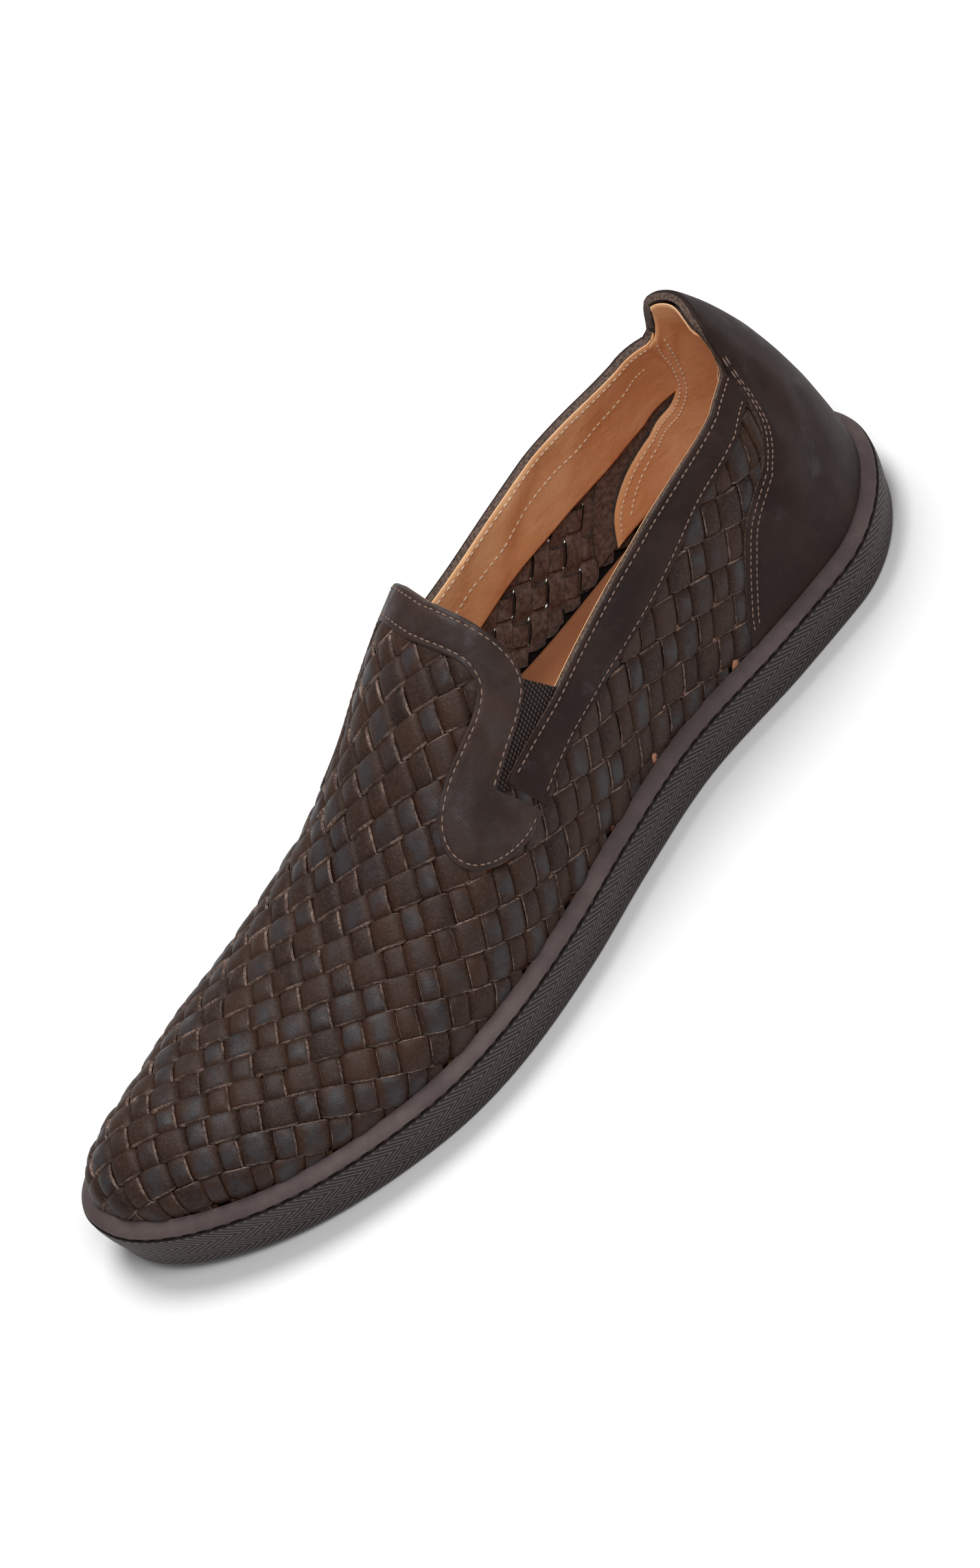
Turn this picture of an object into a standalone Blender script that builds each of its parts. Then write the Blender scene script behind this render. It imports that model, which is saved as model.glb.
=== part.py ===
"""Left slip-on shoe: a woven leather upper with smooth overlays on a rubber cup sole.

+X points to the toe, +Y to the wearer's left (the outer side of this left shoe) and +Z up. The shoe
stands on Z = 0, and the origin is the middle of its footprint. It is worked out with X = 0 at the back of the
heel, and add_mesh moves each piece to the origin. Every leather piece is laid out on one surface, the outer
face of the upper's plain wall. A place on it is a station along the shoe and a share of the girth from the
sole's rim (0) to the ridge (1). Stations run from -1 at the back of the heel over 0 at the heel pole and 1 at
the toe pole to 2 at the tip of the toe.
"""

import bpy
import numpy as np
from mathutils import Vector
from mathutils.geometry import delaunay_2d_cdt

# Driving sizes in metres
LENGTH = 0.300
BALL_WIDTH = 0.095
INSTEP_HEIGHT = 0.089
TOE_SPRING = 0.0040
SPRING_START = 0.68
TAB_RISE = 0.0080
TAB_FLARE = 0.0064
TAB_STATION = 0.34
TAB_SPAN = 0.26
FLARE_START = 0.70

# Sole
WALL_HEIGHT = 0.0162
RIM_RISE = 0.0025
RIM_WIDTH = 0.0050
BOTTOM_INSET = 0.0025
BOTTOM_EDGE = 0.0015
GROOVE_WIDTH = 0.0016
GROOVE_DEPTH = 0.0010
CUP_DEPTH = 0.0060
TREAD_DEPTH = 0.0016
TREAD_GROOVE = 0.0030
TREAD_PITCH = 0.0120
TREAD_MARGIN = 0.0110
TREAD_ZONES = ((0.09, 0.16), (0.25, 0.29), (0.56, 0.61), (0.70, 0.91))
INSOLE_THICKNESS = 0.0040

# Leather
UPPER_WALL = 0.0018
WEAVE_PITCH = 0.0079
WEAVE_RELIEF = 0.0010
WEAVE_ANGLE = 49.0
WEAVE_MARGIN = 0.09
STRIP_LENGTH = 0.80
STRIP_WIDTH = 0.66
HALF_STRIP = 0.58
OVERLAY_THICKNESS = 0.0011
GORE_THICKNESS = 0.0012
GORE_DROP = 0.0003
SEAT_GAP = 0.0003
OVERLAY_GAP = 0.0005

# Mesh steps in metres
LOOP_STEP = 0.0055
OVERLAY_STEP = 0.0065
LINING_STEP = 0.0120
EDGE_STEP = 0.0038
PATCH_MARGIN = 0.45
PLAIN_MARGIN = 0.60
LINING_MARGIN = 0.70
HEEL_STATIONS = 8
WAIST_STATIONS = 16
TOE_STATIONS = 9

HEEL_ROUND, HEEL_POWER = 0.135, 1.9
TOE_ROUND, TOE_POWER = 0.35, 2.33
HEEL_POLE, TOE_POLE = 0.13, 0.87

# Fullness of the inner side and of its top as shares of the outer side's
INNER_SIDE, INNER_TOP = 0.98, 0.90

# Share of length, then the half width, the middle line and the ridge line as shares of the ball width
PLAN = np.array([
    (0.00, 0.372, -0.011, 0.003),
    (0.12, 0.402, 0.000, 0.003),
    (0.22, 0.403, 0.008, 0.005),
    (0.35, 0.392, 0.011, 0.021),
    (0.45, 0.436, 0.026, 0.048),
    (0.55, 0.468, 0.071, 0.069),
    (0.65, 0.494, 0.088, 0.066),
    (0.72, 0.498, 0.082, 0.048),
    (0.80, 0.491, 0.053, 0.025),
    (0.88, 0.461, 0.028, 0.005),
    (1.00, 0.431, -0.072, -0.072),
])

# Share of length, ridge height as a share of the instep height, fullness of the side and of the top
RIDGE = np.array([
    (0.00, 0.985, 2.0, 2.1),
    (0.13, 1.005, 2.0, 2.1),
    (0.25, 1.155, 2.2, 2.1),
    (0.35, 1.13, 2.5, 2.2),
    (0.42, 1.02, 2.5, 2.2),
    (0.50, 0.88, 2.3, 2.1),
    (0.56, 0.75, 2.2, 2.0),
    (0.65, 0.585, 2.2, 2.0),
    (0.75, 0.465, 2.2, 2.0),
    (0.87, 0.425, 2.1, 2.0),
])

# Each row of the paths below is a station and a share of the girth
COLLAR = np.array([
    (-1.00, 0.770),
    (-0.85, 0.770),
    (-0.70, 0.762),
    (-0.60, 0.742),
    (-0.50, 0.716),
    (-0.42, 0.705),
    (-0.20, 0.698),
    (0.00, 0.675),
    (0.06, 0.620),
    (0.14, 0.557),
    (0.22, 0.508),
    (0.30, 0.476),
    (0.37, 0.469),
    (0.44, 0.478),
    (0.505, 0.490),
])
BAND_EDGE = np.array([
    (-0.262, 0.598),
    (0.00, 0.560),
    (0.067, 0.501),
    (0.167, 0.402),
    (0.219, 0.362),
    (0.281, 0.337),
    (0.336, 0.333),
    (0.401, 0.338),
    (0.450, 0.327),
    (0.482, 0.315),
])
THROAT = np.array([
    (0.398, 1.000),
    (0.394, 0.900),
    (0.388, 0.800),
    (0.385, 0.710),
    (0.388, 0.640),
    (0.402, 0.582),
    (0.430, 0.550),
    (0.470, 0.530),
    (0.512, 0.505),
])
BINDING_EDGE = np.array([
    (0.442, 1.000),
    (0.440, 0.930),
    (0.435, 0.850),
    (0.432, 0.775),
    (0.440, 0.718),
    (0.460, 0.695),
    (0.500, 0.688),
    (0.540, 0.685),
    (0.568, 0.668),
    (0.590, 0.632),
    (0.604, 0.575),
    (0.608, 0.510),
    (0.602, 0.443),
    (0.584, 0.382),
    (0.554, 0.330),
    (0.523, 0.307),
    (0.491, 0.308),
])
NOTCH = np.array([
    (0.362, 0.432),
    (0.420, 0.437),
    (0.480, 0.452),
    (0.530, 0.497),
    (0.500, 0.562),
    (0.440, 0.590),
    (0.412, 0.626),
    (0.402, 0.665),
])
GORE = np.array([
    (0.372, 0.447),
    (0.420, 0.451),
    (0.474, 0.465),
    (0.509, 0.498),
    (0.486, 0.548),
    (0.440, 0.575),
    (0.408, 0.604),
])
COLLAR_END = (0.358, 0.469)
THROAT_START = (0.3865, 0.669)
BAND_BACK = (-0.422, 0.705)
BAND_FRONT = (0.499, 0.485)
COUNTER_FOOT = 0.005
COUNTER_FRONT = np.array([
    (-0.450, 0.704),
    (-0.344, 0.650),
    (-0.280, 0.600),
    (-0.200, 0.530),
    (-0.098, 0.478),
    (0.010, 0.420),
    (0.064, 0.330),
    (0.093, 0.245),
    (0.119, 0.155),
    (0.142, 0.060),
    (0.150, COUNTER_FOOT),
])


def smooth(rows, at, column=1):
    """A curve through the rows, read at the given first-column values."""
    xs, ys = rows[:, 0], rows[:, column]
    step = np.diff(xs)
    slope = np.diff(ys) / step
    inner = (slope[:-1] * step[1:] + slope[1:] * step[:-1]) / (step[:-1] + step[1:])
    tangent = np.concatenate([slope[:1], inner, slope[-1:]])
    i = np.clip(np.searchsorted(xs, at, side="right") - 1, 0, len(xs) - 2)
    t = (np.asarray(at) - xs[i]) / step[i]
    start = (1 + 2 * t) * (1 - t) ** 2 * ys[i] + t * (1 - t) ** 2 * step[i] * tangent[i]
    end = t * t * (3 - 2 * t) * ys[i + 1] + t * t * (t - 1) * step[i] * tangent[i + 1]
    return start + end


def eased(t):
    t = np.clip(t, 0, 1)
    return t * t * (3 - 2 * t)


def rounding(share, span, power):
    """1 along the shoe, falling to 0 over the given span at its end."""
    near = np.clip(1 - share / span, 0, 1)
    return np.maximum(0, 1 - near**power) ** (1 / power)


def outline(inset, count=321):
    """Plan outline of the sole from heel over the outer side to the toe and back, as a closed loop."""
    share = 0.5 - 0.5 * np.cos(np.linspace(0, np.pi, count))
    half = smooth(PLAN, share) * BALL_WIDTH
    half = half * rounding(share, HEEL_ROUND, HEEL_POWER) * rounding(1 - share, TOE_ROUND, TOE_POWER)
    middle = smooth(PLAN, share, 2) * BALL_WIDTH
    outer = np.column_stack([share * LENGTH, middle + half])
    inner = np.column_stack([share * LENGTH, middle - half])
    loop = np.concatenate([outer, inner[-2:0:-1]])
    along = np.roll(loop, -1, 0) - np.roll(loop, 1, 0)
    along /= np.linalg.norm(along, axis=1)[:, None]
    return loop + np.column_stack([along[:, 1], -along[:, 0]]) * inset


def toe_lift(x):
    return TOE_SPRING * np.clip((x / LENGTH - SPRING_START) / (1 - SPRING_START), 0, None) ** 2


class Last:
    """The outer face of the upper's plain wall, as a fine grid of points for each side of the shoe."""

    STATIONS = 241
    SHARES = 41

    def __init__(self):
        self.heel_x = HEEL_POLE * LENGTH
        self.toe_x = TOE_POLE * LENGTH
        self.stations = np.linspace(-1, 2, self.STATIONS)
        self.loop = outline(RIM_WIDTH)
        self.points, self.normals, self.girth = {}, {}, {}
        for side in (1, -1):
            self.points[side] = self.side_grid(side)
            self.normals[side] = self.side_normals(side)

    def foot(self, side):
        """Where each rib leaves the rim, and the plan point that it climbs towards."""
        s = self.stations
        centre_x = np.clip(self.heel_x + s * (self.toe_x - self.heel_x), self.heel_x, self.toe_x)
        centre = np.column_stack([centre_x, smooth(PLAN, centre_x / LENGTH, 3) * BALL_WIDTH])
        turn = np.where(s < 0, 1 - s, np.where(s > 1, 2 - s, 1)) * np.pi / 2
        half = len(self.loop) // 2 + 1
        edge = self.loop[:half] if side > 0 else np.concatenate([self.loop[half - 1:], self.loop[:1]])[::-1]
        foot = np.column_stack([centre_x, np.interp(centre_x, edge[:, 0], edge[:, 1])])
        for fan in (s < 0, s > 1):
            pole = centre[fan][0]
            away = self.loop - pole
            angle = np.arctan2(side * away[:, 1], away[:, 0])
            order = np.argsort(angle)
            reach = np.interp(turn[fan], angle[order], np.hypot(*away.T)[order], period=2 * np.pi)
            around = np.column_stack([np.cos(turn[fan]), side * np.sin(turn[fan])])
            foot[fan] = pole + around * reach[:, None]
        return foot, centre

    def side_grid(self, side):
        foot, centre = self.foot(side)
        share = centre[:, 0] / LENGTH
        at_heel = eased((-self.stations - TAB_STATION) / TAB_SPAN)
        low = WALL_HEIGHT + RIM_RISE + toe_lift(foot[:, 0])
        high = smooth(RIDGE, share) * INSTEP_HEIGHT + TAB_RISE * at_heel
        v = np.linspace(0, np.pi / 2, 121)
        inner = eased(np.minimum(1 + self.stations, 2 - self.stations)) if side < 0 else 0
        fullness = smooth(RIDGE, share, 2) * (1 - (1 - INNER_SIDE) * inner)
        top_fullness = smooth(RIDGE, share, 3) * (1 - (1 - INNER_TOP) * inner)
        out = np.cos(v).clip(0)[None] ** (2 / fullness[:, None])
        up = np.sin(v)[None] ** (2 / top_fullness[:, None])
        plan = centre[:, None] + (foot - centre)[:, None] * out[..., None]
        height = low[:, None] + (high - low)[:, None] * up
        above = np.clip((up - FLARE_START) / (1 - FLARE_START), 0, 1) ** 2
        plan[..., 0] -= TAB_FLARE * at_heel[:, None] * above
        rib = np.concatenate([plan, height[..., None]], axis=2)
        length = np.linalg.norm(np.diff(rib, axis=1), axis=2)
        length = np.concatenate([np.zeros((self.STATIONS, 1)), np.cumsum(length, axis=1)], axis=1)
        self.girth[side] = length[:, -1]
        even = np.linspace(0, 1, self.SHARES)
        grid = np.empty((self.STATIONS, self.SHARES, 3))
        for i, along in enumerate(length):
            for axis in range(3):
                grid[i, :, axis] = np.interp(even * along[-1], along, rib[i, :, axis])
        return grid

    def side_normals(self, side):
        grid = self.points[side]
        normal = side * np.cross(np.gradient(grid, axis=1), np.gradient(grid, axis=0))
        normal[self.stations < 0, -1] = normal[self.stations >= 0, -1][0]
        normal[self.stations > 1, -1] = normal[self.stations <= 1, -1][-1]
        return normal / np.linalg.norm(normal, axis=2)[..., None]

    def flat(self, rows, side):
        """Places given by station and girth share, laid out flat."""
        rows = np.atleast_2d(rows)
        s = rows[:, 0]
        reach = (1 - rows[:, 1]) * np.interp(s, self.stations, self.girth[side])
        turn = np.where(s < 0, 1 - s, np.where(s > 1, 2 - s, 1)) * np.pi / 2
        pole = np.clip(self.heel_x + s * (self.toe_x - self.heel_x), self.heel_x, self.toe_x)
        return np.column_stack([pole + reach * np.cos(turn), side * reach * np.sin(turn)])

    def at(self, flat, rise):
        """Points at a rise above the surface for places on the flat layout."""
        flat = np.atleast_2d(flat)
        rise = np.broadcast_to(rise, len(flat))
        pole = np.clip(flat[:, 0], self.heel_x, self.toe_x)
        ahead = flat[:, 0] - pole
        reach = np.hypot(ahead, flat[:, 1])
        turn = np.arctan2(np.abs(flat[:, 1]), ahead) / (np.pi / 2)
        s = (pole - self.heel_x) / (self.toe_x - self.heel_x)
        s = np.where(ahead < 0, 1 - turn, np.where(ahead > 0, 2 - turn, s))
        found = np.empty((len(flat), 3))
        for side in (1, -1):
            mine = (flat[:, 1] >= 0) == (side > 0)
            girth = np.interp(s[mine], self.stations, self.girth[side])
            share = np.clip(1 - reach[mine] / girth, 0, 1) * (self.SHARES - 1)
            row = np.clip((s[mine] + 1) / 3, 0, 1) * (self.STATIONS - 1)
            i = np.minimum(row.astype(int), self.STATIONS - 2)
            j = np.minimum(share.astype(int), self.SHARES - 2)
            u, v = (row - i)[:, None], (share - j)[:, None]
            mixed = []
            for grid in (self.points[side], self.normals[side]):
                low = grid[i, j] * (1 - u) + grid[i + 1, j] * u
                high = grid[i, j + 1] * (1 - u) + grid[i + 1, j + 1] * u
                mixed.append(low * (1 - v) + high * v)
            normal = mixed[1] / np.linalg.norm(mixed[1], axis=1)[:, None]
            found[mine] = mixed[0] + normal * rise[mine, None]
        return found


LAST = Last()


def curve(rows, side, step=LOOP_STEP):
    """A smooth path through the rows on the flat layout, with points a step apart and both ends kept."""
    points = LAST.flat(rows, side)
    along = np.concatenate([[0], np.cumsum(np.linalg.norm(np.diff(points, axis=0), axis=1))])
    table = np.column_stack([along, points])
    fine = np.linspace(0, along[-1], 400)
    dense = np.column_stack([smooth(table, fine, 1), smooth(table, fine, 2)])
    run = np.concatenate([[0], np.cumsum(np.linalg.norm(np.diff(dense, axis=0), axis=1))])
    even = np.linspace(0, run[-1], max(2, int(round(run[-1] / step)) + 1))
    return np.column_stack([np.interp(even, run, dense[:, 0]), np.interp(even, run, dense[:, 1])])


def divided(loop, step):
    """The closed loop with its long straight stretches divided."""
    points = []
    for start, end in zip(loop, np.roll(loop, -1, 0)):
        count = max(1, int(round(np.linalg.norm(end - start) / step)))
        points += [start + (end - start) * k / count for k in range(count)]
    return np.array(points)


def inside(points, loop):
    """Which points lie inside the closed loop."""
    a, b = loop, np.roll(loop, -1, 0)
    x, y = points[:, 0, None], points[:, 1, None]
    crosses = (a[None, :, 1] > y) != (b[None, :, 1] > y)
    rise = np.where(b[:, 1] == a[:, 1], 1e-12, b[:, 1] - a[:, 1])
    meets = a[None, :, 0] + (y - a[None, :, 1]) * ((b - a)[None, :, 0] / rise[None])
    return (crosses & (x < meets)).sum(axis=1) % 2 == 1


def clearance(points, loop):
    """How far each point lies from the closed loop."""
    a = loop[None]
    ab = (np.roll(loop, -1, 0) - loop)[None]
    ap = points[:, None] - a
    t = np.clip((ap * ab).sum(2) / np.maximum((ab**2).sum(2), 1e-18), 0, 1)
    return np.linalg.norm(ap - t[..., None] * ab, axis=2).min(axis=1)


def lattice(loops, step, margin, turn=0.0):
    """A triangular pattern of points inside the first loop and outside the others, clear of them all."""
    low, high = loops[0].min(axis=0), loops[0].max(axis=0)
    reach = np.linalg.norm(high - low) / 2
    rows = np.arange(-reach, reach, step * 0.866)
    across = np.arange(-reach, reach, step)
    points = [(x + step / 2 * (i % 2), y) for i, y in enumerate(rows) for x in across]
    c, s = np.cos(turn), np.sin(turn)
    points = np.array(points) @ np.array([[c, s], [-s, c]]) + (low + high) / 2
    keep = inside(points, loops[0])
    for loop in loops[1:]:
        keep &= ~inside(points, loop)
    for loop in loops:
        keep &= clearance(points, loop) > margin
    return points[keep]


def triangles(loops, loose, links=()):
    """Triangles over the flat region inside the first loop and outside the others.

    The points are the loops' one after another, then the loose ones, then any where two links cross.
    """
    points = np.concatenate([*loops, loose])
    edges, start = [], 0
    for loop in loops:
        count = len(loop)
        edges += [(start + i, start + (i + 1) % count) for i in range(count)]
        start += count
    edges += [(start + a, start + b) for a, b in links]
    found = delaunay_2d_cdt([Vector(p * 1000) for p in points], edges, [], 0, 1e-7)
    source = []
    for place, origin in zip(found[0], found[3]):
        if not origin:
            points = np.concatenate([points, [np.array(place) / 1000]])
        source.append(origin[0] if origin else len(points) - 1)
    faces = np.array([[source[i] for i in face] for face in found[2]])
    corner = points[faces]
    area = np.cross(corner[:, 1] - corner[:, 0], corner[:, 2] - corner[:, 0])
    faces[area < 0] = faces[area < 0][:, ::-1]
    middle = corner.mean(axis=1)
    keep = inside(middle, loops[0]) & (np.abs(area) > 1e-12)
    for loop in loops[1:]:
        keep &= ~inside(middle, loop)
    return points, faces[keep]


def add_mesh(name, points, faces, colour, roughness, smooth_angle=None):
    mesh = bpy.data.meshes.new(name)
    points = np.asarray(points) - FOOTPRINT_MIDDLE
    mesh.from_pydata([tuple(map(float, p)) for p in points], [], [tuple(map(int, f)) for f in faces])
    mesh.validate()
    if smooth_angle:
        mesh.shade_smooth()
        mesh.set_sharp_from_angle(angle=np.radians(smooth_angle))
    material = bpy.data.materials.new(name)
    material.use_nodes = True
    surface = material.node_tree.nodes["Principled BSDF"]
    surface.inputs["Base Color"].default_value = (*colour, 1)
    surface.inputs["Roughness"].default_value = roughness
    surface.inputs["Metallic"].default_value = 0.0
    mesh.materials.append(material)
    piece = bpy.data.objects.new(name, mesh)
    bpy.context.scene.collection.objects.link(piece)
    return piece


def wall_faces(first, second, count):
    """Quads between two rings of points, given their first indices."""
    return [
        (first + i, first + (i + 1) % count, second + (i + 1) % count, second + i)
        for i in range(count)
    ]


def patch(name, loop, low, high, colour, roughness, step=OVERLAY_STEP):
    """A sheet of leather over the last inside a loop on the flat layout, between two rises."""
    if np.cross(loop, np.roll(loop, -1, 0)).sum() < 0:
        loop = loop[::-1]
    loop = divided(loop, step)
    flat, faces = triangles([loop], lattice([loop], step, step * PATCH_MARGIN))
    count = len(flat)
    points = np.concatenate([LAST.at(flat, high), LAST.at(flat, low)])
    below = [tuple(face[::-1] + count) for face in faces]
    sides = wall_faces(count, 0, len(loop))
    return add_mesh(name, points, [*map(tuple, faces), *below, *sides], colour, roughness, 40)


def perimeter():
    """Station and side of each section round the shoe: heel, outer side, toe, inner side."""
    heel = np.linspace(-1, 0, HEEL_STATIONS + 1)
    waist = np.linspace(0, 1, WAIST_STATIONS + 1)[1:]
    toe = np.linspace(1, 2, TOE_STATIONS + 1)[1:]
    half = np.concatenate([heel, waist, toe])
    outer = [(s, 1) for s in half]
    inner = [(s, -1) for s in half[-2:0:-1]]
    return outer + inner


PERIMETER = perimeter()
SPAN = len(PERIMETER) // 2


def rim_points():
    """The upper's foot at each section, with its outward plan direction and the toe's lift there."""
    flat = np.concatenate([LAST.flat((s, 0.0), side) for s, side in PERIMETER])
    foot = LAST.at(flat, 0.0)
    out = LAST.at(flat, 1.0) - foot
    out[:, 2] = 0
    out /= np.linalg.norm(out, axis=1)[:, None]
    return flat, foot, out, toe_lift(foot[:, 0])


RIM_FLAT, RIM_FOOT, RIM_OUT, RIM_LIFT = rim_points()
RIM_TOP = WALL_HEIGHT + RIM_RISE
CUP_FLOOR = RIM_TOP - CUP_DEPTH
FOOTPRINT = RIM_FOOT + RIM_OUT * RIM_WIDTH
FOOTPRINT_MIDDLE = (FOOTPRINT.min(axis=0) + FOOTPRINT.max(axis=0)) / 2 * (1, 1, 0)


def ring(outward, height):
    """A closed ring round the shoe, outward of the upper's foot, at a height that follows the toe."""
    points = RIM_FOOT + RIM_OUT * outward
    points[:, 2] = height + RIM_LIFT
    return points


def ladder(start, up):
    """Faces across the shoe between the two sides of a ring."""
    count = len(PERIMETER)
    faces = []
    for i in range(SPAN):
        corners = [i, i + 1, (count - i - 1) % count, (count - i) % count]
        face = [start + c for c in dict.fromkeys(corners)]
        faces.append(tuple(face[::-1] if up else face))
    return faces


def ring_solid(name, rings, colour, roughness):
    """A closed solid from rings that run up outside and may turn down inside, closed at both ends."""
    count = len(PERIMETER)
    points = np.concatenate(rings)
    faces = ladder(0, False) + ladder((len(rings) - 1) * count, True)
    for i in range(len(rings) - 1):
        faces += [face[::-1] for face in wall_faces(i * count, (i + 1) * count, count)]
    return add_mesh(name, points, faces, colour, roughness, 35)


def cup_sole():
    outer = RIM_WIDTH
    low, high = WALL_HEIGHT - GROOVE_WIDTH, WALL_HEIGHT
    lip = GROOVE_WIDTH / 6
    rings = [
        ring(outer - BOTTOM_INSET - BOTTOM_EDGE, 0.0),
        ring(outer - BOTTOM_INSET, BOTTOM_EDGE),
        ring(outer - BOTTOM_INSET * 0.25, WALL_HEIGHT * 0.5),
        ring(outer, low),
        ring(outer - GROOVE_DEPTH, low + lip),
        ring(outer - GROOVE_DEPTH, high - lip),
        ring(outer - GROOVE_DEPTH * 0.2, high),
        ring(outer * 0.78, high + RIM_RISE * 0.45),
        ring(SEAT_GAP, RIM_TOP),
        ring(SEAT_GAP, CUP_FLOOR),
    ]
    return ring_solid("cup_sole", rings, (0.045, 0.033, 0.029), 0.75)


def cut_tread(sole):
    """Chevron grooves across the tread, under the ball of the foot and under the heel."""
    edge = outline(BOTTOM_INSET + BOTTOM_EDGE + TREAD_MARGIN)
    corners, faces = [], []
    for first, last in TREAD_ZONES:
        for x in np.arange(first * LENGTH, last * LENGTH, TREAD_PITCH):
            crossing = edge[np.abs(edge[:, 0] - x) < TREAD_PITCH / 2, 1]
            left, right = crossing[crossing > crossing.mean()], crossing[crossing < crossing.mean()]
            if not len(left) or not len(right):
                continue
            y0, y1 = right.max(), left.min()
            bend = TREAD_PITCH * 0.6
            row = [(x - bend, y0), (x, (y0 + y1) / 2), (x - bend, y1)]
            base = len(corners)
            floor = TREAD_DEPTH + toe_lift(x)
            for dx in (0.0, TREAD_GROOVE):
                for z in (-TREAD_DEPTH, floor):
                    corners += [(px + dx, py, z) for px, py in row]
            near_low, near_high, far_low, far_high = (base + 3 * k for k in range(4))
            for k in (0, 1):
                faces += [
                    (near_low + k, near_high + k, near_high + k + 1, near_low + k + 1),
                    (far_low + k, far_low + k + 1, far_high + k + 1, far_high + k),
                    (near_low + k, near_low + k + 1, far_low + k + 1, far_low + k),
                    (near_high + k, far_high + k, far_high + k + 1, near_high + k + 1),
                ]
            faces.append((near_low, far_low, far_high, near_high))
            faces.append((near_low + 2, near_high + 2, far_high + 2, far_low + 2))
    cutter = add_mesh("tread_cutter", np.array(corners), faces, (0.5, 0.5, 0.5), 0.5)
    cutter.hide_render = True
    cutter.display_type = "WIRE"
    cut = sole.modifiers.new("tread", "BOOLEAN")
    cut.operation = "DIFFERENCE"
    cut.solver = "EXACT"
    cut.object = cutter


def insole():
    inset = -(UPPER_WALL + SEAT_GAP)
    low = CUP_FLOOR + SEAT_GAP
    rings = [ring(inset, low), ring(inset, low + INSOLE_THICKNESS)]
    return ring_solid("insole", rings, (0.50, 0.22, 0.09), 0.6)


def opening_loop():
    """The edge of the foot opening on the flat layout, with the notches that the elastic gores fill."""
    paths = {}
    for side in (1, -1):
        rear = np.concatenate([COLLAR[COLLAR[:, 0] < COLLAR_END[0]], [COLLAR_END]])
        front = np.concatenate([[THROAT_START], THROAT[THROAT[:, 1] > THROAT_START[1]][::-1]])
        notch = curve(NOTCH, side, EDGE_STEP)
        paths[side] = np.concatenate([curve(rear, side, EDGE_STEP * 1.2), notch, curve(front, side)])
    return np.concatenate([paths[1], paths[-1][-2:0:-1]])


def counter_loop():
    front = {side: curve(COUNTER_FRONT, side, OVERLAY_STEP) for side in (1, -1)}
    top_rows = np.concatenate([COLLAR[COLLAR[:, 0] < COUNTER_FRONT[0, 0]], COUNTER_FRONT[:1]])
    top = {side: curve(top_rows, side, EDGE_STEP) for side in (1, -1)}
    foot_rows = [(s, COUNTER_FOOT) for s in np.linspace(COUNTER_FRONT[-1, 0], -1, 2 * HEEL_STATIONS)]
    foot = {side: LAST.flat(np.array(foot_rows), side) for side in (1, -1)}
    outer = np.concatenate([top[1], front[1][1:], foot[1][1:]])
    inner = np.concatenate([top[-1], front[-1][1:], foot[-1][1:]])
    return np.concatenate([outer, inner[-2:0:-1]])


def band_loop(side):
    rows = COLLAR[(COLLAR[:, 0] > BAND_BACK[0] + 0.01) & (COLLAR[:, 0] < BAND_FRONT[0])]
    top = np.concatenate([[BAND_BACK], rows, [BAND_FRONT]])
    return np.concatenate([curve(top, side), curve(BAND_EDGE, side)[::-1]])


def binding_loop():
    throat = {side: curve(THROAT, side) for side in (1, -1)}
    edge = {side: curve(BINDING_EDGE, side, LOOP_STEP * 0.8) for side in (1, -1)}
    upper_half = np.concatenate([throat[1][::-1], throat[-1][1:]])
    lower_half = np.concatenate([edge[-1][::-1], edge[1][1:]])
    return np.concatenate([upper_half, lower_half])


def gore_loop(side):
    return curve(GORE, side, LOOP_STEP * 0.6)


def weave(region, covered):
    """Raised strips of a plain weave: corner points, raised points inside each cell, and their links.

    A cell with one corner outside keeps the half that lies inside.
    """
    turn = np.radians(WEAVE_ANGLE)
    one = np.array([np.cos(turn), np.sin(turn)]) * WEAVE_PITCH
    two = np.array([-np.sin(turn), np.cos(turn)]) * WEAVE_PITCH
    reach = int(LENGTH / WEAVE_PITCH)
    middle = region[0].mean(axis=0)
    cells = np.array([(i, j) for i in range(-reach, reach) for j in range(-reach, reach)])
    corners = np.stack([middle + (cells[:, :1] + a) * one + (cells[:, 1:] + b) * two
                        for a, b in ((0, 0), (1, 0), (1, 1), (0, 1))], axis=1)
    margin = WEAVE_PITCH * WEAVE_MARGIN
    flat = np.concatenate([corners.reshape(-1, 2), corners.mean(axis=1)])
    good = inside(flat, region[0]) & (clearance(flat, region[0]) > margin)
    for loop in region[1:] + covered:
        good &= ~inside(flat, loop) & (clearance(flat, loop) > margin)
    fits = good[:corners.size // 2].reshape(-1, 4)
    centred = good[corners.size // 2:]
    kept = fits.all(axis=1) | (fits.sum(axis=1) == 3) & centred
    places, rises, links, known = [], [], [], {}
    for (i, j), square, fit in zip(cells[kept], corners[kept], fits[kept]):
        ring_ids = []
        for key, place, fitting in zip(((i, j), (i + 1, j), (i + 1, j + 1), (i, j + 1)), square, fit):
            if not fitting:
                continue
            if key not in known:
                known[key] = len(places)
                places.append(place)
                rises.append(0.0)
            ring_ids.append(known[key])
        count = len(ring_ids)
        links += [(ring_ids[k], ring_ids[(k + 1) % count]) for k in range(count)]
        if count == 4:
            long, wide = (one, two) if (i + j) % 2 else (two, one)
            along, across = long * STRIP_LENGTH / 2, wide * STRIP_WIDTH / 2
            signs = ((-1, -1), (1, -1), (1, 1), (-1, 1))
            raised = [square.mean(axis=0) + a * along + b * across for a, b in signs]
        else:
            corner = square[fit]
            raised = list(corner.mean(axis=0) + (corner - corner.mean(axis=0)) * HALF_STRIP)
        start = len(places)
        places += raised
        rises += [WEAVE_RELIEF] * count
        links += [(start + k, start + (k + 1) % count) for k in range(count)]
    unique = list({tuple(sorted(link)) for link in links})
    return np.array(places), np.array(rises), unique


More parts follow.
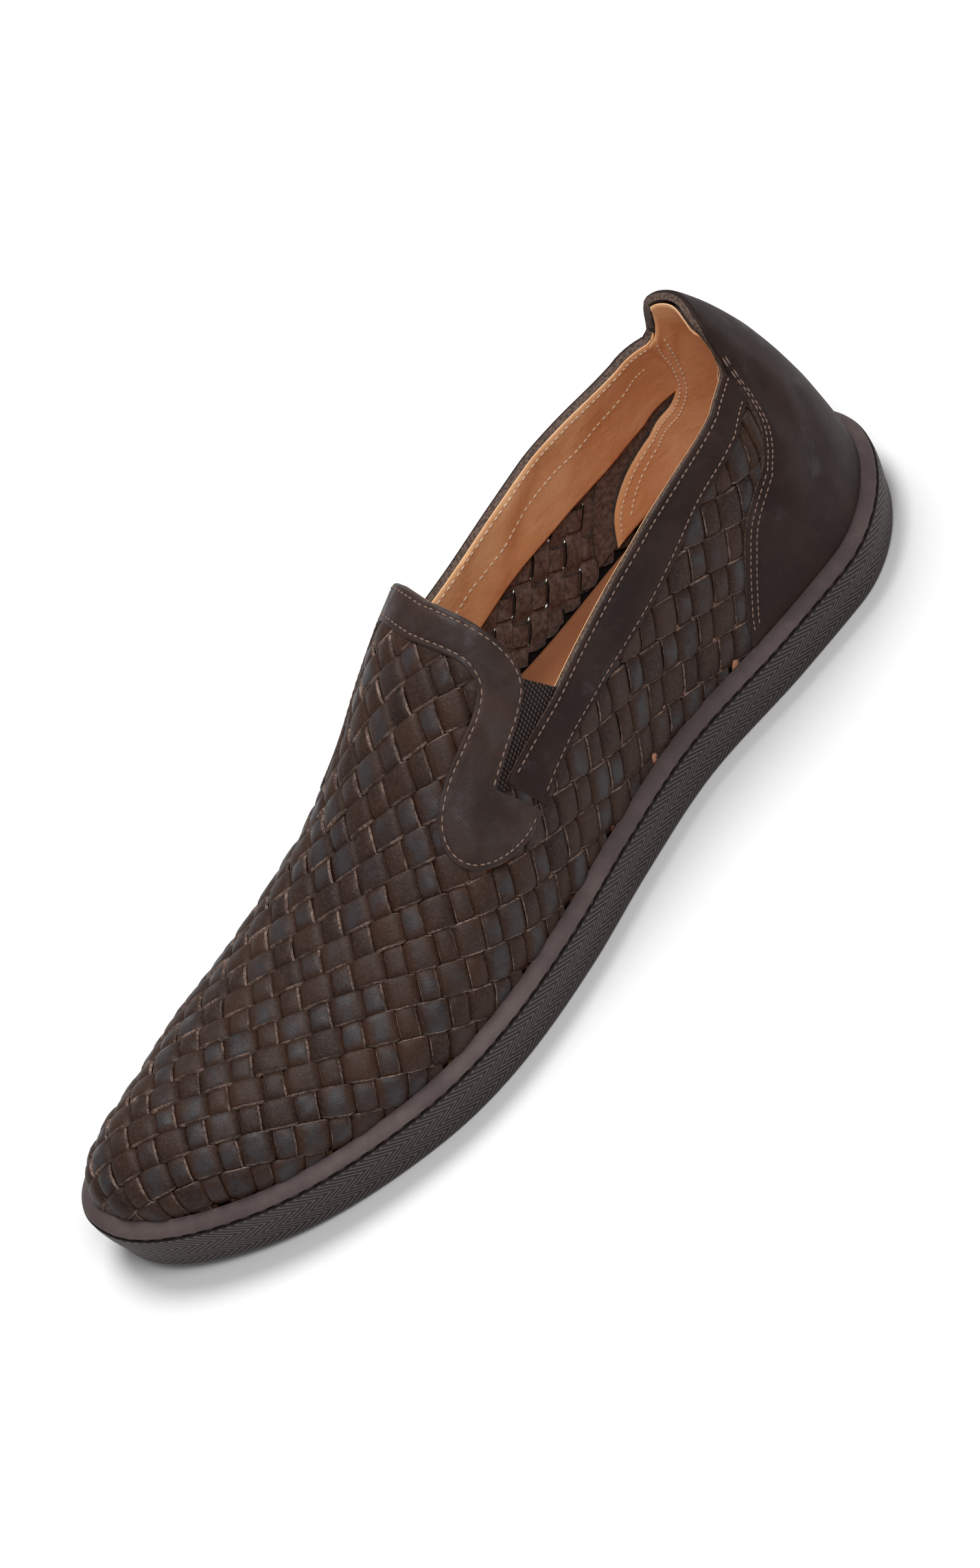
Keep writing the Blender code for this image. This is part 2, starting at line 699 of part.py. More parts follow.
def upper():
    """One hollow wall: the woven outer face, the inner face, the edges and the skirt inside the sole."""
    outer = RIM_FLAT[::-1]
    opening = opening_loop()
    covered = [counter_loop(), band_loop(1), band_loop(-1), binding_loop()]
    woven, rises, links = weave([outer, opening], covered)
    plain = lattice([outer, opening], OVERLAY_STEP, LOOP_STEP * PLAIN_MARGIN)
    near = np.linalg.norm(plain[:, None] - woven[None], axis=2).min(axis=1)
    plain = plain[near > WEAVE_PITCH * PLAIN_MARGIN]
    flat, faces = triangles([outer, opening], np.concatenate([woven, plain]), links)
    rise = np.zeros(len(flat))
    rise[len(outer) + len(opening):][:len(woven)] = rises
    lining = lattice([outer, opening], LINING_STEP, LOOP_STEP * LINING_MARGIN)
    flat_in, faces_in = triangles([outer, opening], lining)
    out_points = LAST.at(flat, rise)
    in_points = LAST.at(flat_in, -UPPER_WALL)
    rim, edge = len(outer), len(opening)
    skirt = np.concatenate([out_points[:rim], in_points[:rim]])
    skirt[:, 2] = np.tile((CUP_FLOOR + SEAT_GAP + RIM_LIFT)[::-1], 2)
    points = np.concatenate([out_points, in_points, skirt])
    base_in = len(out_points)
    base_skirt = base_in + len(in_points)
    solid = [tuple(face) for face in faces]
    solid += [tuple(face[::-1] + base_in) for face in faces_in]
    solid += wall_faces(base_in + rim, rim, edge)
    solid += wall_faces(base_skirt, 0, rim)
    solid += wall_faces(base_in, base_skirt + rim, rim)
    solid += wall_faces(base_skirt + rim, base_skirt, rim)
    return add_mesh("upper", points, solid, (0.060, 0.036, 0.026), 0.5, 30)


def main():
    for piece in list(bpy.data.objects):
        bpy.data.objects.remove(piece, do_unlink=True)
    leather = (0.052, 0.032, 0.024)
    elastic = (0.022, 0.014, 0.012)
    low, high = OVERLAY_GAP, OVERLAY_GAP + OVERLAY_THICKNESS
    sole = cup_sole()
    cut_tread(sole)
    insole()
    upper()
    patch("heel_counter", counter_loop(), low, high, leather, 0.5, OVERLAY_STEP * 0.85)
    patch("throat_binding", binding_loop(), low, high, leather, 0.5, OVERLAY_STEP * 0.8)
    for side, place in ((1, "outer"), (-1, "inner")):
        patch(f"collar_band_{place}", band_loop(side), low, high, leather, 0.5)
        patch(f"gore_{place}", gore_loop(side), -GORE_DROP - GORE_THICKNESS, -GORE_DROP, elastic, 0.9)


main()
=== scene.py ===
"""Looks of the left slip-on shoe: woven strips, smooth overlays, linings, stitches, sole, light and camera.

The shoe's leather lies on one surface, worked out here from the same sizes as the solids. A place on it is a
station along the shoe and a share of the girth, or a point of the flat layout. Units are metres.
"""

import bpy
import numpy as np
from mathutils import Matrix, Vector
from mathutils.geometry import delaunay_2d_cdt


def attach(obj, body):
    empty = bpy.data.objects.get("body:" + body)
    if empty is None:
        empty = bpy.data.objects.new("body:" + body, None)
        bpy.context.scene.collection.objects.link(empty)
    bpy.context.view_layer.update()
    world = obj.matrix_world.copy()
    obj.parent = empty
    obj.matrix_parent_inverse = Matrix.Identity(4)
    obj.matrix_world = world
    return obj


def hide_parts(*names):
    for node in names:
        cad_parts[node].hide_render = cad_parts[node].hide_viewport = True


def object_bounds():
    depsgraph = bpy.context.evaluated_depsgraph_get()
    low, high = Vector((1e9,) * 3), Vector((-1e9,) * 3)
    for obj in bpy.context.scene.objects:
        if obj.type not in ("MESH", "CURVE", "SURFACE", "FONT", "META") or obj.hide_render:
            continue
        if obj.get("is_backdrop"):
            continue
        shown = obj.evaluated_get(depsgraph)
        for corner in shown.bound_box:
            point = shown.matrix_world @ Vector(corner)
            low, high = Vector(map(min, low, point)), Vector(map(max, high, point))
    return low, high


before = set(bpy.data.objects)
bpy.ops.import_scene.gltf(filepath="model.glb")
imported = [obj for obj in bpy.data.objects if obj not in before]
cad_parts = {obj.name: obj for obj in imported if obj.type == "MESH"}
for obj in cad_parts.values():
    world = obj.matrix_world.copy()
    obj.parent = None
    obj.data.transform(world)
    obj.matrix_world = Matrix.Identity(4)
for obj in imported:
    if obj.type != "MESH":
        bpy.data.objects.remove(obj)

CAD_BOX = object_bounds()

# Last
LENGTH = 0.300
BALL_WIDTH = 0.095
INSTEP_HEIGHT = 0.089
TOE_SPRING = 0.0040
SPRING_START = 0.68
TAB_RISE = 0.0135
TAB_FLARE = 0.0020
TAB_STATION = 0.34
TAB_SPAN = 0.26
FLARE_START = 0.70
HEEL_ROUND, HEEL_POWER = 0.135, 1.9
TOE_ROUND, TOE_POWER = 0.35, 2.33
INNER_SIDE, INNER_TOP = 0.98, 0.90
HEEL_POLE, TOE_POLE = 0.13, 0.87

# Sole
WALL_HEIGHT = 0.0162
RIM_RISE = 0.0025
RIM_WIDTH = 0.0050
BOTTOM_INSET = 0.0025
BOTTOM_EDGE = 0.0015
GROOVE_WIDTH = 0.0010
GROOVE_DEPTH = 0.0010
CUP_DEPTH = 0.0060
INSOLE_THICKNESS = 0.0040
TREAD_DEPTH = 0.0016
TREAD_GROOVE = 0.0030
TREAD_PITCH = 0.0120
TREAD_MARGIN = 0.0110
TREAD_ZONES = ((0.09, 0.16), (0.25, 0.29), (0.56, 0.61), (0.70, 0.91))
RIM_TOP = WALL_HEIGHT + RIM_RISE
CUP_FLOOR = RIM_TOP - CUP_DEPTH
TUCK = 0.0030
SEAT_GAP = 0.0003
RIB_PITCH = 0.0023
RIB_ROW = 0.0037
RIB_SLANT = 1.75

# Each ring of the insole's cover: how far inside the upper's foot, and its rise from the cover's top
INSOLE_RINGS = ((0.0022, -0.0030), (0.0020, -0.0006), (0.0026, -0.0001), (0.0036, 0), (0.007, -0.0002),
                (0.014, -0.0004))

# Weave on the flat layout: strips across and along, their pitch, widths as shares of the pitch, and heights
PITCH = 0.00765
ACROSS_ANGLE, ALONG_ANGLE = 139.0, 51.0
ACROSS_WIDTH, ALONG_WIDTH = 0.91, 0.64
WEAVE_ORIGIN = (0.2000, 0.0020)
ACROSS_THICKNESS, ALONG_THICKNESS = 0.00090, 0.00062
ACROSS_BIAS, ALONG_BIAS = 0.16, 0.0
WEAVE_SWING = 0.00074
WEAVE_BASE = -0.00025
STRIP_CROWN = 0.00038
UNDERLAP = 0.0024
OPENING_CLEAR = 0.0045
SHEAR_START = 0.130
SHEAR = 12.0

# Overlays, linings and stitches
OVERLAY_TOP = 0.00135
OVERLAY_BOTTOM = -0.00145
LINING_TOP = -0.00150
LINING_THICKNESS = 0.0009
FOLD_ROUND = 0.0011
RAW_ROUND = 0.00035
PRESS_WIDTH, PRESS_DEPTH = 0.00055, 0.00022
EDGE_CALM = 0.004
STITCH_INSET = 0.0013
STITCH_LENGTH = 0.0017
STITCH_PITCH = 0.0022
THREAD = 0.00024
LINING_THREAD = 0.000312
THREAD_SIDES, THREAD_RINGS = 6, 5
THREAD_FLATNESS = 0.75
ROW_STEP = 0.0004
RIM_STITCH_LENGTH = 0.0024
RIM_STITCH_PITCH = 0.0046
RIM_THREAD = 0.00034
ROW_GAP = 0.0016
LINING_GAP = 0.0030
LINING_ROW = 0.0110

# Angle in degrees from which the sole's edges are sharp
SOLE_SHARP = 35

# Mesh steps, and the number of points in one part of a long sum
LOOP_STEP = 0.0016
PANEL_STEP = 0.0028
PART = 4000

# Photograph and the camera that took it
PHOTO_WIDTH, PHOTO_HEIGHT = 1512, 2420
CAMERA_AZIMUTH, CAMERA_ELEVATION, CAMERA_ROLL = 73.88, 42.0, -37.91
CAMERA_DISTANCE = 2.21044
CAMERA_TARGET = (0.150, 0.000, 0.040)
FOCAL_PIXELS = 9223.0
CLOSER = 1.40
FRAME_SHIFT = (0.0110, -0.0030)

# Share of length, then the half width, the middle line and the ridge line as shares of the ball width
PLAN = np.array([
    (0.00, 0.372, -0.011, 0.003),
    (0.12, 0.402, 0.000, 0.003),
    (0.22, 0.403, 0.008, 0.005),
    (0.35, 0.392, 0.011, 0.021),
    (0.45, 0.436, 0.026, 0.048),
    (0.55, 0.468, 0.071, 0.069),
    (0.65, 0.494, 0.088, 0.066),
    (0.72, 0.498, 0.082, 0.048),
    (0.80, 0.491, 0.053, 0.025),
    (0.88, 0.461, 0.028, 0.005),
    (1.00, 0.431, -0.072, -0.072),
])

# Share of length, ridge height as a share of the instep height, fullness of the side and of the top
RIDGE = np.array([
    (0.00, 0.985, 2.0, 2.1),
    (0.13, 1.005, 2.0, 2.1),
    (0.25, 1.155, 2.2, 2.1),
    (0.35, 1.13, 2.5, 2.2),
    (0.42, 1.02, 2.5, 2.2),
    (0.50, 0.88, 2.3, 2.1),
    (0.56, 0.75, 2.2, 2.0),
    (0.65, 0.585, 2.2, 2.0),
    (0.75, 0.465, 2.2, 2.0),
    (0.87, 0.425, 2.1, 2.0),
])

# Each row of the paths below is a station and a share of the girth
COLLAR = np.array([
    (-1.00, 0.785), (-0.85, 0.785), (-0.74, 0.780), (-0.65, 0.768), (-0.57, 0.750), (-0.51, 0.733),
    (-0.465, 0.713), (-0.42, 0.705), (-0.20, 0.698), (0.00, 0.675), (0.06, 0.620), (0.14, 0.557),
    (0.22, 0.508), (0.30, 0.476), (0.37, 0.469), (0.44, 0.478), (0.505, 0.490),
])
BAND_EDGE = np.array([
    (-0.262, 0.598), (0.00, 0.560), (0.067, 0.501), (0.167, 0.402), (0.219, 0.362), (0.281, 0.337),
    (0.336, 0.333), (0.401, 0.338), (0.450, 0.327), (0.482, 0.315),
])
THROAT = np.array([
    (0.398, 1.000), (0.394, 0.900), (0.388, 0.800), (0.385, 0.710), (0.388, 0.640), (0.402, 0.582),
    (0.430, 0.550), (0.470, 0.530), (0.512, 0.505),
])
BINDING_EDGE = np.array([
    (0.442, 1.000), (0.440, 0.930), (0.435, 0.850), (0.432, 0.775), (0.440, 0.718), (0.460, 0.695),
    (0.500, 0.688), (0.540, 0.685), (0.568, 0.668), (0.590, 0.632), (0.604, 0.575), (0.608, 0.510),
    (0.602, 0.443), (0.584, 0.382), (0.554, 0.330), (0.523, 0.307), (0.491, 0.308),
])
GORE = np.array([
    (0.366, 0.440), (0.420, 0.440), (0.480, 0.450), (0.520, 0.498), (0.492, 0.562), (0.440, 0.590),
    (0.402, 0.625),
])
COUNTER_FRONT = np.array([
    (-0.450, 0.704), (-0.344, 0.650), (-0.280, 0.600), (-0.200, 0.530), (-0.098, 0.478), (0.010, 0.420),
    (0.064, 0.330), (0.093, 0.245), (0.119, 0.155), (0.142, 0.060), (0.150, 0.005),
])
LINING_FRONT = np.array([
    (-0.350, 0.700), (-0.342, 0.630), (-0.338, 0.460), (-0.305, 0.370), (-0.225, 0.310),
    (-0.060, 0.268), (0.017, 0.235), (0.047, 0.205), (0.072, 0.166), (0.097, 0.107), (0.117, 0.010),
])
LINING_LOW = np.array([
    (-0.400, 0.350), (-0.190, 0.330), (-0.060, 0.310), (0.023, 0.288), (0.067, 0.267), (0.150, 0.252),
    (0.260, 0.245), (0.320, 0.218), (0.420, 0.190), (0.530, 0.180),
])
BAND_BACK, BAND_FRONT = (-0.422, 0.705), (0.499, 0.485)
LINING_BACK, LINING_END = (-0.42, 0.705), (0.530, 0.495)

# Chances for each crossing of the weave, by strip numbers counted from a strip beyond the shoe's end
RANDOM = np.random.default_rng(11)
CHANCES, FIRST_STRIP = 160, 80
CHANCE = RANDOM.random((6, CHANCES, CHANCES))


# Curves and the last's surface


def smooth(rows, at, column=1):
    """A curve through the rows, read at the given first-column values."""
    xs, ys = rows[:, 0], rows[:, column]
    step = np.diff(xs)
    slope = np.diff(ys) / step
    inner = (slope[:-1] * step[1:] + slope[1:] * step[:-1]) / (step[:-1] + step[1:])
    tangent = np.concatenate([slope[:1], inner, slope[-1:]])
    i = np.clip(np.searchsorted(xs, at, side="right") - 1, 0, len(xs) - 2)
    t = (np.asarray(at) - xs[i]) / step[i]
    start = (1 + 2 * t) * (1 - t) ** 2 * ys[i] + t * (1 - t) ** 2 * step[i] * tangent[i]
    end = t * t * (3 - 2 * t) * ys[i + 1] + t * t * (t - 1) * step[i] * tangent[i + 1]
    return start + end


def eased(t):
    t = np.clip(t, 0, 1)
    return t * t * (3 - 2 * t)


def rounding(share, span, power):
    near = np.clip(1 - share / span, 0, 1)
    return np.maximum(0, 1 - near**power) ** (1 / power)


def outline(inset, count=641):
    """Plan outline of the sole from heel over the outer side to the toe and back, as a closed loop."""
    share = 0.5 - 0.5 * np.cos(np.linspace(0, np.pi, count))
    half = smooth(PLAN, share) * BALL_WIDTH
    half = half * rounding(share, HEEL_ROUND, HEEL_POWER) * rounding(1 - share, TOE_ROUND, TOE_POWER)
    middle = smooth(PLAN, share, 2) * BALL_WIDTH
    outer = np.column_stack([share * LENGTH, middle + half])
    inner = np.column_stack([share * LENGTH, middle - half])
    loop = np.concatenate([outer, inner[-2:0:-1]])
    along = np.roll(loop, -1, 0) - np.roll(loop, 1, 0)
    along /= np.linalg.norm(along, axis=1)[:, None]
    return loop + np.column_stack([along[:, 1], -along[:, 0]]) * inset


def toe_lift(x):
    return TOE_SPRING * np.clip((x / LENGTH - SPRING_START) / (1 - SPRING_START), 0, None) ** 2


class Last:
    """The outer face of the upper's plain wall, as a fine grid of points for each side of the shoe."""

    STATIONS = 601
    SHARES = 101

    def __init__(self):
        self.heel_x = HEEL_POLE * LENGTH
        self.toe_x = TOE_POLE * LENGTH
        self.stations = np.linspace(-1, 2, self.STATIONS)
        self.loop = outline(RIM_WIDTH)
        self.points, self.normals, self.girth = {}, {}, {}
        for side in (1, -1):
            self.points[side] = self.side_grid(side)
            self.normals[side] = self.side_normals(side)

    def foot(self, side):
        """Where each rib leaves the rim, and the plan point that it climbs towards."""
        s = self.stations
        centre_x = np.clip(self.heel_x + s * (self.toe_x - self.heel_x), self.heel_x, self.toe_x)
        centre = np.column_stack([centre_x, smooth(PLAN, centre_x / LENGTH, 3) * BALL_WIDTH])
        turn = np.where(s < 0, 1 - s, np.where(s > 1, 2 - s, 1)) * np.pi / 2
        half = len(self.loop) // 2 + 1
        edge = self.loop[:half] if side > 0 else np.concatenate([self.loop[half - 1:], self.loop[:1]])[::-1]
        foot = np.column_stack([centre_x, np.interp(centre_x, edge[:, 0], edge[:, 1])])
        for fan in (s < 0, s > 1):
            pole = centre[fan][0]
            away = self.loop - pole
            angle = np.arctan2(side * away[:, 1], away[:, 0])
            order = np.argsort(angle)
            reach = np.interp(turn[fan], angle[order], np.hypot(*away.T)[order], period=2 * np.pi)
            around = np.column_stack([np.cos(turn[fan]), side * np.sin(turn[fan])])
            foot[fan] = pole + around * reach[:, None]
        return foot, centre

    def side_grid(self, side):
        foot, centre = self.foot(side)
        share = centre[:, 0] / LENGTH
        at_heel = eased((-self.stations - TAB_STATION) / TAB_SPAN)
        low = RIM_TOP + toe_lift(foot[:, 0])
        high = smooth(RIDGE, share) * INSTEP_HEIGHT + TAB_RISE * at_heel
        v = np.linspace(0, np.pi / 2, 241)
        inner = eased(np.minimum(1 + self.stations, 2 - self.stations)) if side < 0 else 0
        fullness = smooth(RIDGE, share, 2) * (1 - (1 - INNER_SIDE) * inner)
        top_fullness = smooth(RIDGE, share, 3) * (1 - (1 - INNER_TOP) * inner)
        out = np.cos(v).clip(0)[None] ** (2 / fullness[:, None])
        up = np.sin(v)[None] ** (2 / top_fullness[:, None])
        plan = centre[:, None] + (foot - centre)[:, None] * out[..., None]
        height = low[:, None] + (high - low)[:, None] * up
        above = np.clip((up - FLARE_START) / (1 - FLARE_START), 0, 1) ** 2
        plan[..., 0] -= TAB_FLARE * at_heel[:, None] * above
        rib = np.concatenate([plan, height[..., None]], axis=2)
        length = np.linalg.norm(np.diff(rib, axis=1), axis=2)
        length = np.concatenate([np.zeros((self.STATIONS, 1)), np.cumsum(length, axis=1)], axis=1)
        self.girth[side] = length[:, -1]
        even = np.linspace(0, 1, self.SHARES)
        grid = np.empty((self.STATIONS, self.SHARES, 3))
        for i, along in enumerate(length):
            for axis in range(3):
                grid[i, :, axis] = np.interp(even * along[-1], along, rib[i, :, axis])
        return grid

    def side_normals(self, side):
        grid = self.points[side]
        normal = side * np.cross(np.gradient(grid, axis=1), np.gradient(grid, axis=0))
        normal[self.stations < 0, -1] = normal[self.stations >= 0, -1][0]
        normal[self.stations > 1, -1] = normal[self.stations <= 1, -1][-1]
        return normal / np.linalg.norm(normal, axis=2)[..., None]

    def flat(self, rows, side):
        """Places given by station and girth share, laid out flat."""
        rows = np.atleast_2d(rows)
        s = rows[:, 0]
        reach = (1 - rows[:, 1]) * np.interp(s, self.stations, self.girth[side])
        turn = np.where(s < 0, 1 - s, np.where(s > 1, 2 - s, 1)) * np.pi / 2
        pole = np.clip(self.heel_x + s * (self.toe_x - self.heel_x), self.heel_x, self.toe_x)
        return np.column_stack([pole + reach * np.cos(turn), side * reach * np.sin(turn)])

    def at(self, flat, rise):
        """Points at a rise above the surface for places on the flat layout."""
        flat = np.atleast_2d(flat)
        rise = np.broadcast_to(rise, len(flat))
        pole = np.clip(flat[:, 0], self.heel_x, self.toe_x)
        ahead = flat[:, 0] - pole
        reach = np.hypot(ahead, flat[:, 1])
        turn = np.arctan2(np.abs(flat[:, 1]), ahead) / (np.pi / 2)
        s = (pole - self.heel_x) / (self.toe_x - self.heel_x)
        s = np.where(ahead < 0, 1 - turn, np.where(ahead > 0, 2 - turn, s))
        found = np.empty((len(flat), 3))
        for side in (1, -1):
            mine = (flat[:, 1] >= 0) == (side > 0)
            girth = np.interp(s[mine], self.stations, self.girth[side])
            share = np.clip(1 - reach[mine] / girth, 0, 1) * (self.SHARES - 1)
            row = np.clip((s[mine] + 1) / 3, 0, 1) * (self.STATIONS - 1)
            i = np.minimum(row.astype(int), self.STATIONS - 2)
            j = np.minimum(share.astype(int), self.SHARES - 2)
            u, v = (row - i)[:, None], (share - j)[:, None]
            mixed = []
            for grid in (self.points[side], self.normals[side]):
                low = grid[i, j] * (1 - u) + grid[i + 1, j] * u
                high = grid[i, j + 1] * (1 - u) + grid[i + 1, j + 1] * u
                mixed.append(low * (1 - v) + high * v)
            normal = mixed[1] / np.linalg.norm(mixed[1], axis=1)[:, None]
            found[mine] = mixed[0] + normal * rise[mine, None]
            beyond = np.clip(reach[mine] - girth, 0, TUCK)
            found[mine] -= np.column_stack([0 * beyond, 0 * beyond, beyond])
        return found


LAST = Last()


# Loops and distances on the flat layout


def curve(rows, side, step=LOOP_STEP):
    """A smooth path through the rows on the flat layout, with points a step apart and both ends kept."""
    points = LAST.flat(rows, side)
    along = np.concatenate([[0], np.cumsum(np.linalg.norm(np.diff(points, axis=0), axis=1))])
    table = np.column_stack([along, points])
    fine = np.linspace(0, along[-1], 800)
    return even(np.column_stack([smooth(table, fine, 1), smooth(table, fine, 2)]), step)


def even(path, step):
    """The same path with points evenly spaced, about a step apart."""
    run = np.concatenate([[0], np.cumsum(np.linalg.norm(np.diff(path, axis=0), axis=1))])
    at = np.linspace(0, run[-1], max(2, int(round(run[-1] / step)) + 1))
    return np.column_stack([np.interp(at, run, path[:, k]) for k in range(path.shape[1])])


def divided(loop, step):
    points = []
    for start, end in zip(loop, np.roll(loop, -1, 0)):
        count = max(1, int(round(np.linalg.norm(end - start) / step)))
        points += [start + (end - start) * k / count for k in range(count)]
    return np.array(points)


def turned_left(loop):
    return loop if np.cross(loop, np.roll(loop, -1, 0)).sum() > 0 else loop[::-1]


def in_parts(function):
    """The function of points and a line, run over part of the points at a time to spare memory."""
    def run(points, line):
        parts = range(0, len(points), PART)
        return np.concatenate([function(points[k:k + PART], line) for k in parts])
    return run


@in_parts
def inside(points, loop):
    a, b = loop, np.roll(loop, -1, 0)
    x, y = points[:, 0, None], points[:, 1, None]
    crosses = (a[None, :, 1] > y) != (b[None, :, 1] > y)
    rise = np.where(b[:, 1] == a[:, 1], 1e-12, b[:, 1] - a[:, 1])
    meets = a[None, :, 0] + (y - a[None, :, 1]) * ((b - a)[None, :, 0] / rise[None])
    return (crosses & (x < meets)).sum(axis=1) % 2 == 1


@in_parts
def clearance_to_path(points, path):
    a = path[None, :-1]
    ab = (path[1:] - path[:-1])[None]
    ap = points[:, None] - a
    t = np.clip((ap * ab).sum(2) / np.maximum((ab**2).sum(2), 1e-18), 0, 1)
    return np.linalg.norm(ap - t[..., None] * ab, axis=2).min(axis=1)


def clearance(points, loop):
    return clearance_to_path(points, np.concatenate([loop, loop[:1]]))


class Field:
    """Signed distance to a closed loop on the flat layout, positive inside, kept on a grid."""

    STEP = 0.001
    LOW = np.array([-0.075, -0.112])
    SIZE = (410, 225)

    def __init__(self, loop):
        x, y = (self.LOW[k] + self.STEP * np.arange(self.SIZE[k]) for k in (0, 1))
        points = np.stack(np.meshgrid(x, y, indexing="ij"), axis=-1).reshape(-1, 2)
        sign = np.where(inside(points, loop), 1, -1)
        self.grid = (clearance(points, loop) * sign).reshape(self.SIZE)

    def __call__(self, points):
        place = (points - self.LOW) / self.STEP
        place = np.clip(place, 0, np.array(self.SIZE) - 1.001)
        i, j = place.astype(int).T
        u, v = (place - place.astype(int)).T
        low = self.grid[i, j] * (1 - u) + self.grid[i + 1, j] * u
        high = self.grid[i, j + 1] * (1 - u) + self.grid[i + 1, j + 1] * u
        return low * (1 - v) + high * v


def collar_rows(start, end):
    rows = COLLAR[(COLLAR[:, 0] > start[0] + 0.01) & (COLLAR[:, 0] < end[0] - 0.01)]
    return np.concatenate([[start], rows, [end]])


def both(rows):
    return {side: curve(rows, side) for side in (1, -1)}


def joined(halves):
    """One loop from its outer and inner halves, which share both ends."""
    return turned_left(np.concatenate([halves[1], halves[-1][-2:0:-1]]))


def heel_loop(rows):
    """Loop of a panel round the heel, from the top line down both front edges to the foot."""
    front, top = both(rows), both(collar_rows(COLLAR[0], rows[0]))
    foot = both(np.array([(s, rows[-1, 1]) for s in np.linspace(rows[-1, 0], -1, 24)]))
    return joined({side: np.concatenate([top[side], front[side][1:], foot[side][1:]]) for side in (1, -1)})


def band_loop(side):
    top = curve(collar_rows(BAND_BACK, BAND_FRONT), side)
    return turned_left(np.concatenate([top, curve(BAND_EDGE, side)[::-1]]))


def binding_loop():
    throat, edge = both(THROAT), both(BINDING_EDGE)
    upper_half = np.concatenate([throat[1][::-1], throat[-1][1:]])
    lower_half = np.concatenate([edge[-1][::-1], edge[1][1:]])
    return turned_left(np.concatenate([upper_half, lower_half]))


def opening_loop():
    """The edge of the whole foot opening, gores left out."""
    collar, throat = both(collar_rows(COLLAR[0], COLLAR[-1])), both(THROAT)
    return joined({side: np.concatenate([collar[side], throat[side][::-1]]) for side in (1, -1)})


def rim_loop():
    rows = np.array([(s, 0.0) for s in np.linspace(-1, 2, 361)])
    return joined({side: LAST.flat(rows, side) for side in (1, -1)})


LOOPS = {
    "rim": rim_loop(),
    "opening": opening_loop(),
    "heel_counter": heel_loop(COUNTER_FRONT),
    "collar_band_outer": band_loop(1),
    "collar_band_inner": band_loop(-1),
    "throat_binding": binding_loop(),
}
FIELDS = {name: Field(loop) for name, loop in LOOPS.items()}


def open_weave(points):
    """How far each place lies inside the part of the upper where the weave shows."""
    covers = [-FIELDS[name](points) for name in LOOPS if name != "rim"]
    return np.minimum(FIELDS["rim"](points), np.min(covers, axis=0))


# Making meshes


def sole_middle():
    loop = outline(0.0)
    return np.array([*(loop.min(axis=0) + loop.max(axis=0)) / 2, 0.0])


MIDDLE = sole_middle()


def add_piece(name, points, faces, materials, slots=None, angle=40, flat=None, values=()):
    """A mesh object that rides on the shoe, with its flat layout as UV and any named values per point."""
    mesh = bpy.data.meshes.new(name)
    points = np.asarray(points, float) - MIDDLE
    mesh.from_pydata(points.tolist(), [], [tuple(map(int, f)) for f in faces])
    for made in materials:
        mesh.materials.append(made)
    if slots is not None:
        mesh.polygons.foreach_set("material_index", np.asarray(slots, dtype=np.int32))
    if flat is not None:
        corners = np.empty(len(mesh.loops), dtype=np.int32)
        mesh.loops.foreach_get("vertex_index", corners)
        layer = mesh.uv_layers.new(name="flat")
        layer.data.foreach_set("uv", np.asarray(flat, dtype=np.float32)[corners].ravel())
    for key, value in dict(values).items():
        layer = mesh.attributes.new(key, "FLOAT", "POINT")
        layer.data.foreach_set("value", np.asarray(value, dtype=np.float32))
    mesh.update()
    mesh.shade_smooth()
    mesh.set_sharp_from_angle(angle=np.radians(angle))
    piece = bpy.data.objects.new(name, mesh)
    bpy.context.scene.collection.objects.link(piece)
    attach(piece, "root")
    return piece


def tube(rings, around, base=0):
    """Faces between rings of points that follow each other."""
    faces = []
    for first in range(base, base + (rings - 1) * around, around):
        for a in range(around):
            b = (a + 1) % around
            faces.append((first + a, first + b, first + around + b, first + around + a))
    return faces


def crossing(start, count, up):
    """Faces across the shoe between the two sides of a ring."""
    faces = []
    for i in range(count // 2):
        face = [start + c for c in dict.fromkeys([i, i + 1, (count - i - 1) % count, (count - i) % count])]
        faces.append(tuple(face[::-1] if up else face))
    return faces


def triangles(loop, loose):
    """Triangles over the flat region inside the loop, on its own points and the loose ones."""
    points = np.concatenate([loop, loose])
    edges = [(i, (i + 1) % len(loop)) for i in range(len(loop))]
    found = delaunay_2d_cdt([Vector(p * 1000) for p in points], edges, [], 0, 1e-7)
    source = [origin[0] if origin else -1 for origin in found[3]]
    faces = np.array([[source[i] for i in face] for face in found[2] if len(face) == 3])
    faces = faces[(faces >= 0).all(axis=1)]
    corner = points[faces]
    area = np.cross(corner[:, 1] - corner[:, 0], corner[:, 2] - corner[:, 0])
    faces[area < 0] = faces[area < 0][:, ::-1]
    keep = inside(corner.mean(axis=1), loop) & (np.abs(area) > 1e-13)
    return points, faces[keep]


def inset_points(loop, distance, step):
    """Points along the inside of a loop at one distance, without those that a corner crowds out."""
    points = divided(loop, step)
    along = np.roll(points, -1, 0) - np.roll(points, 1, 0)
    along /= np.maximum(np.linalg.norm(along, axis=1), 1e-12)[:, None]
    points = points + np.column_stack([-along[:, 1], along[:, 0]]) * distance
    return points[inside(points, loop) & (clearance(points, loop) > distance * 0.96)]


def filling(loop, step, margin):
    low, high = loop.min(axis=0), loop.max(axis=0)
    rows = np.arange(low[1], high[1], step * 0.866)
    across = np.arange(low[0], high[0], step)
    points = np.array([(x + step / 2 * (i % 2), y) for i, y in enumerate(rows) for x in across])
    points = points[inside(points, loop)]
    return points[clearance(points, loop) > margin]


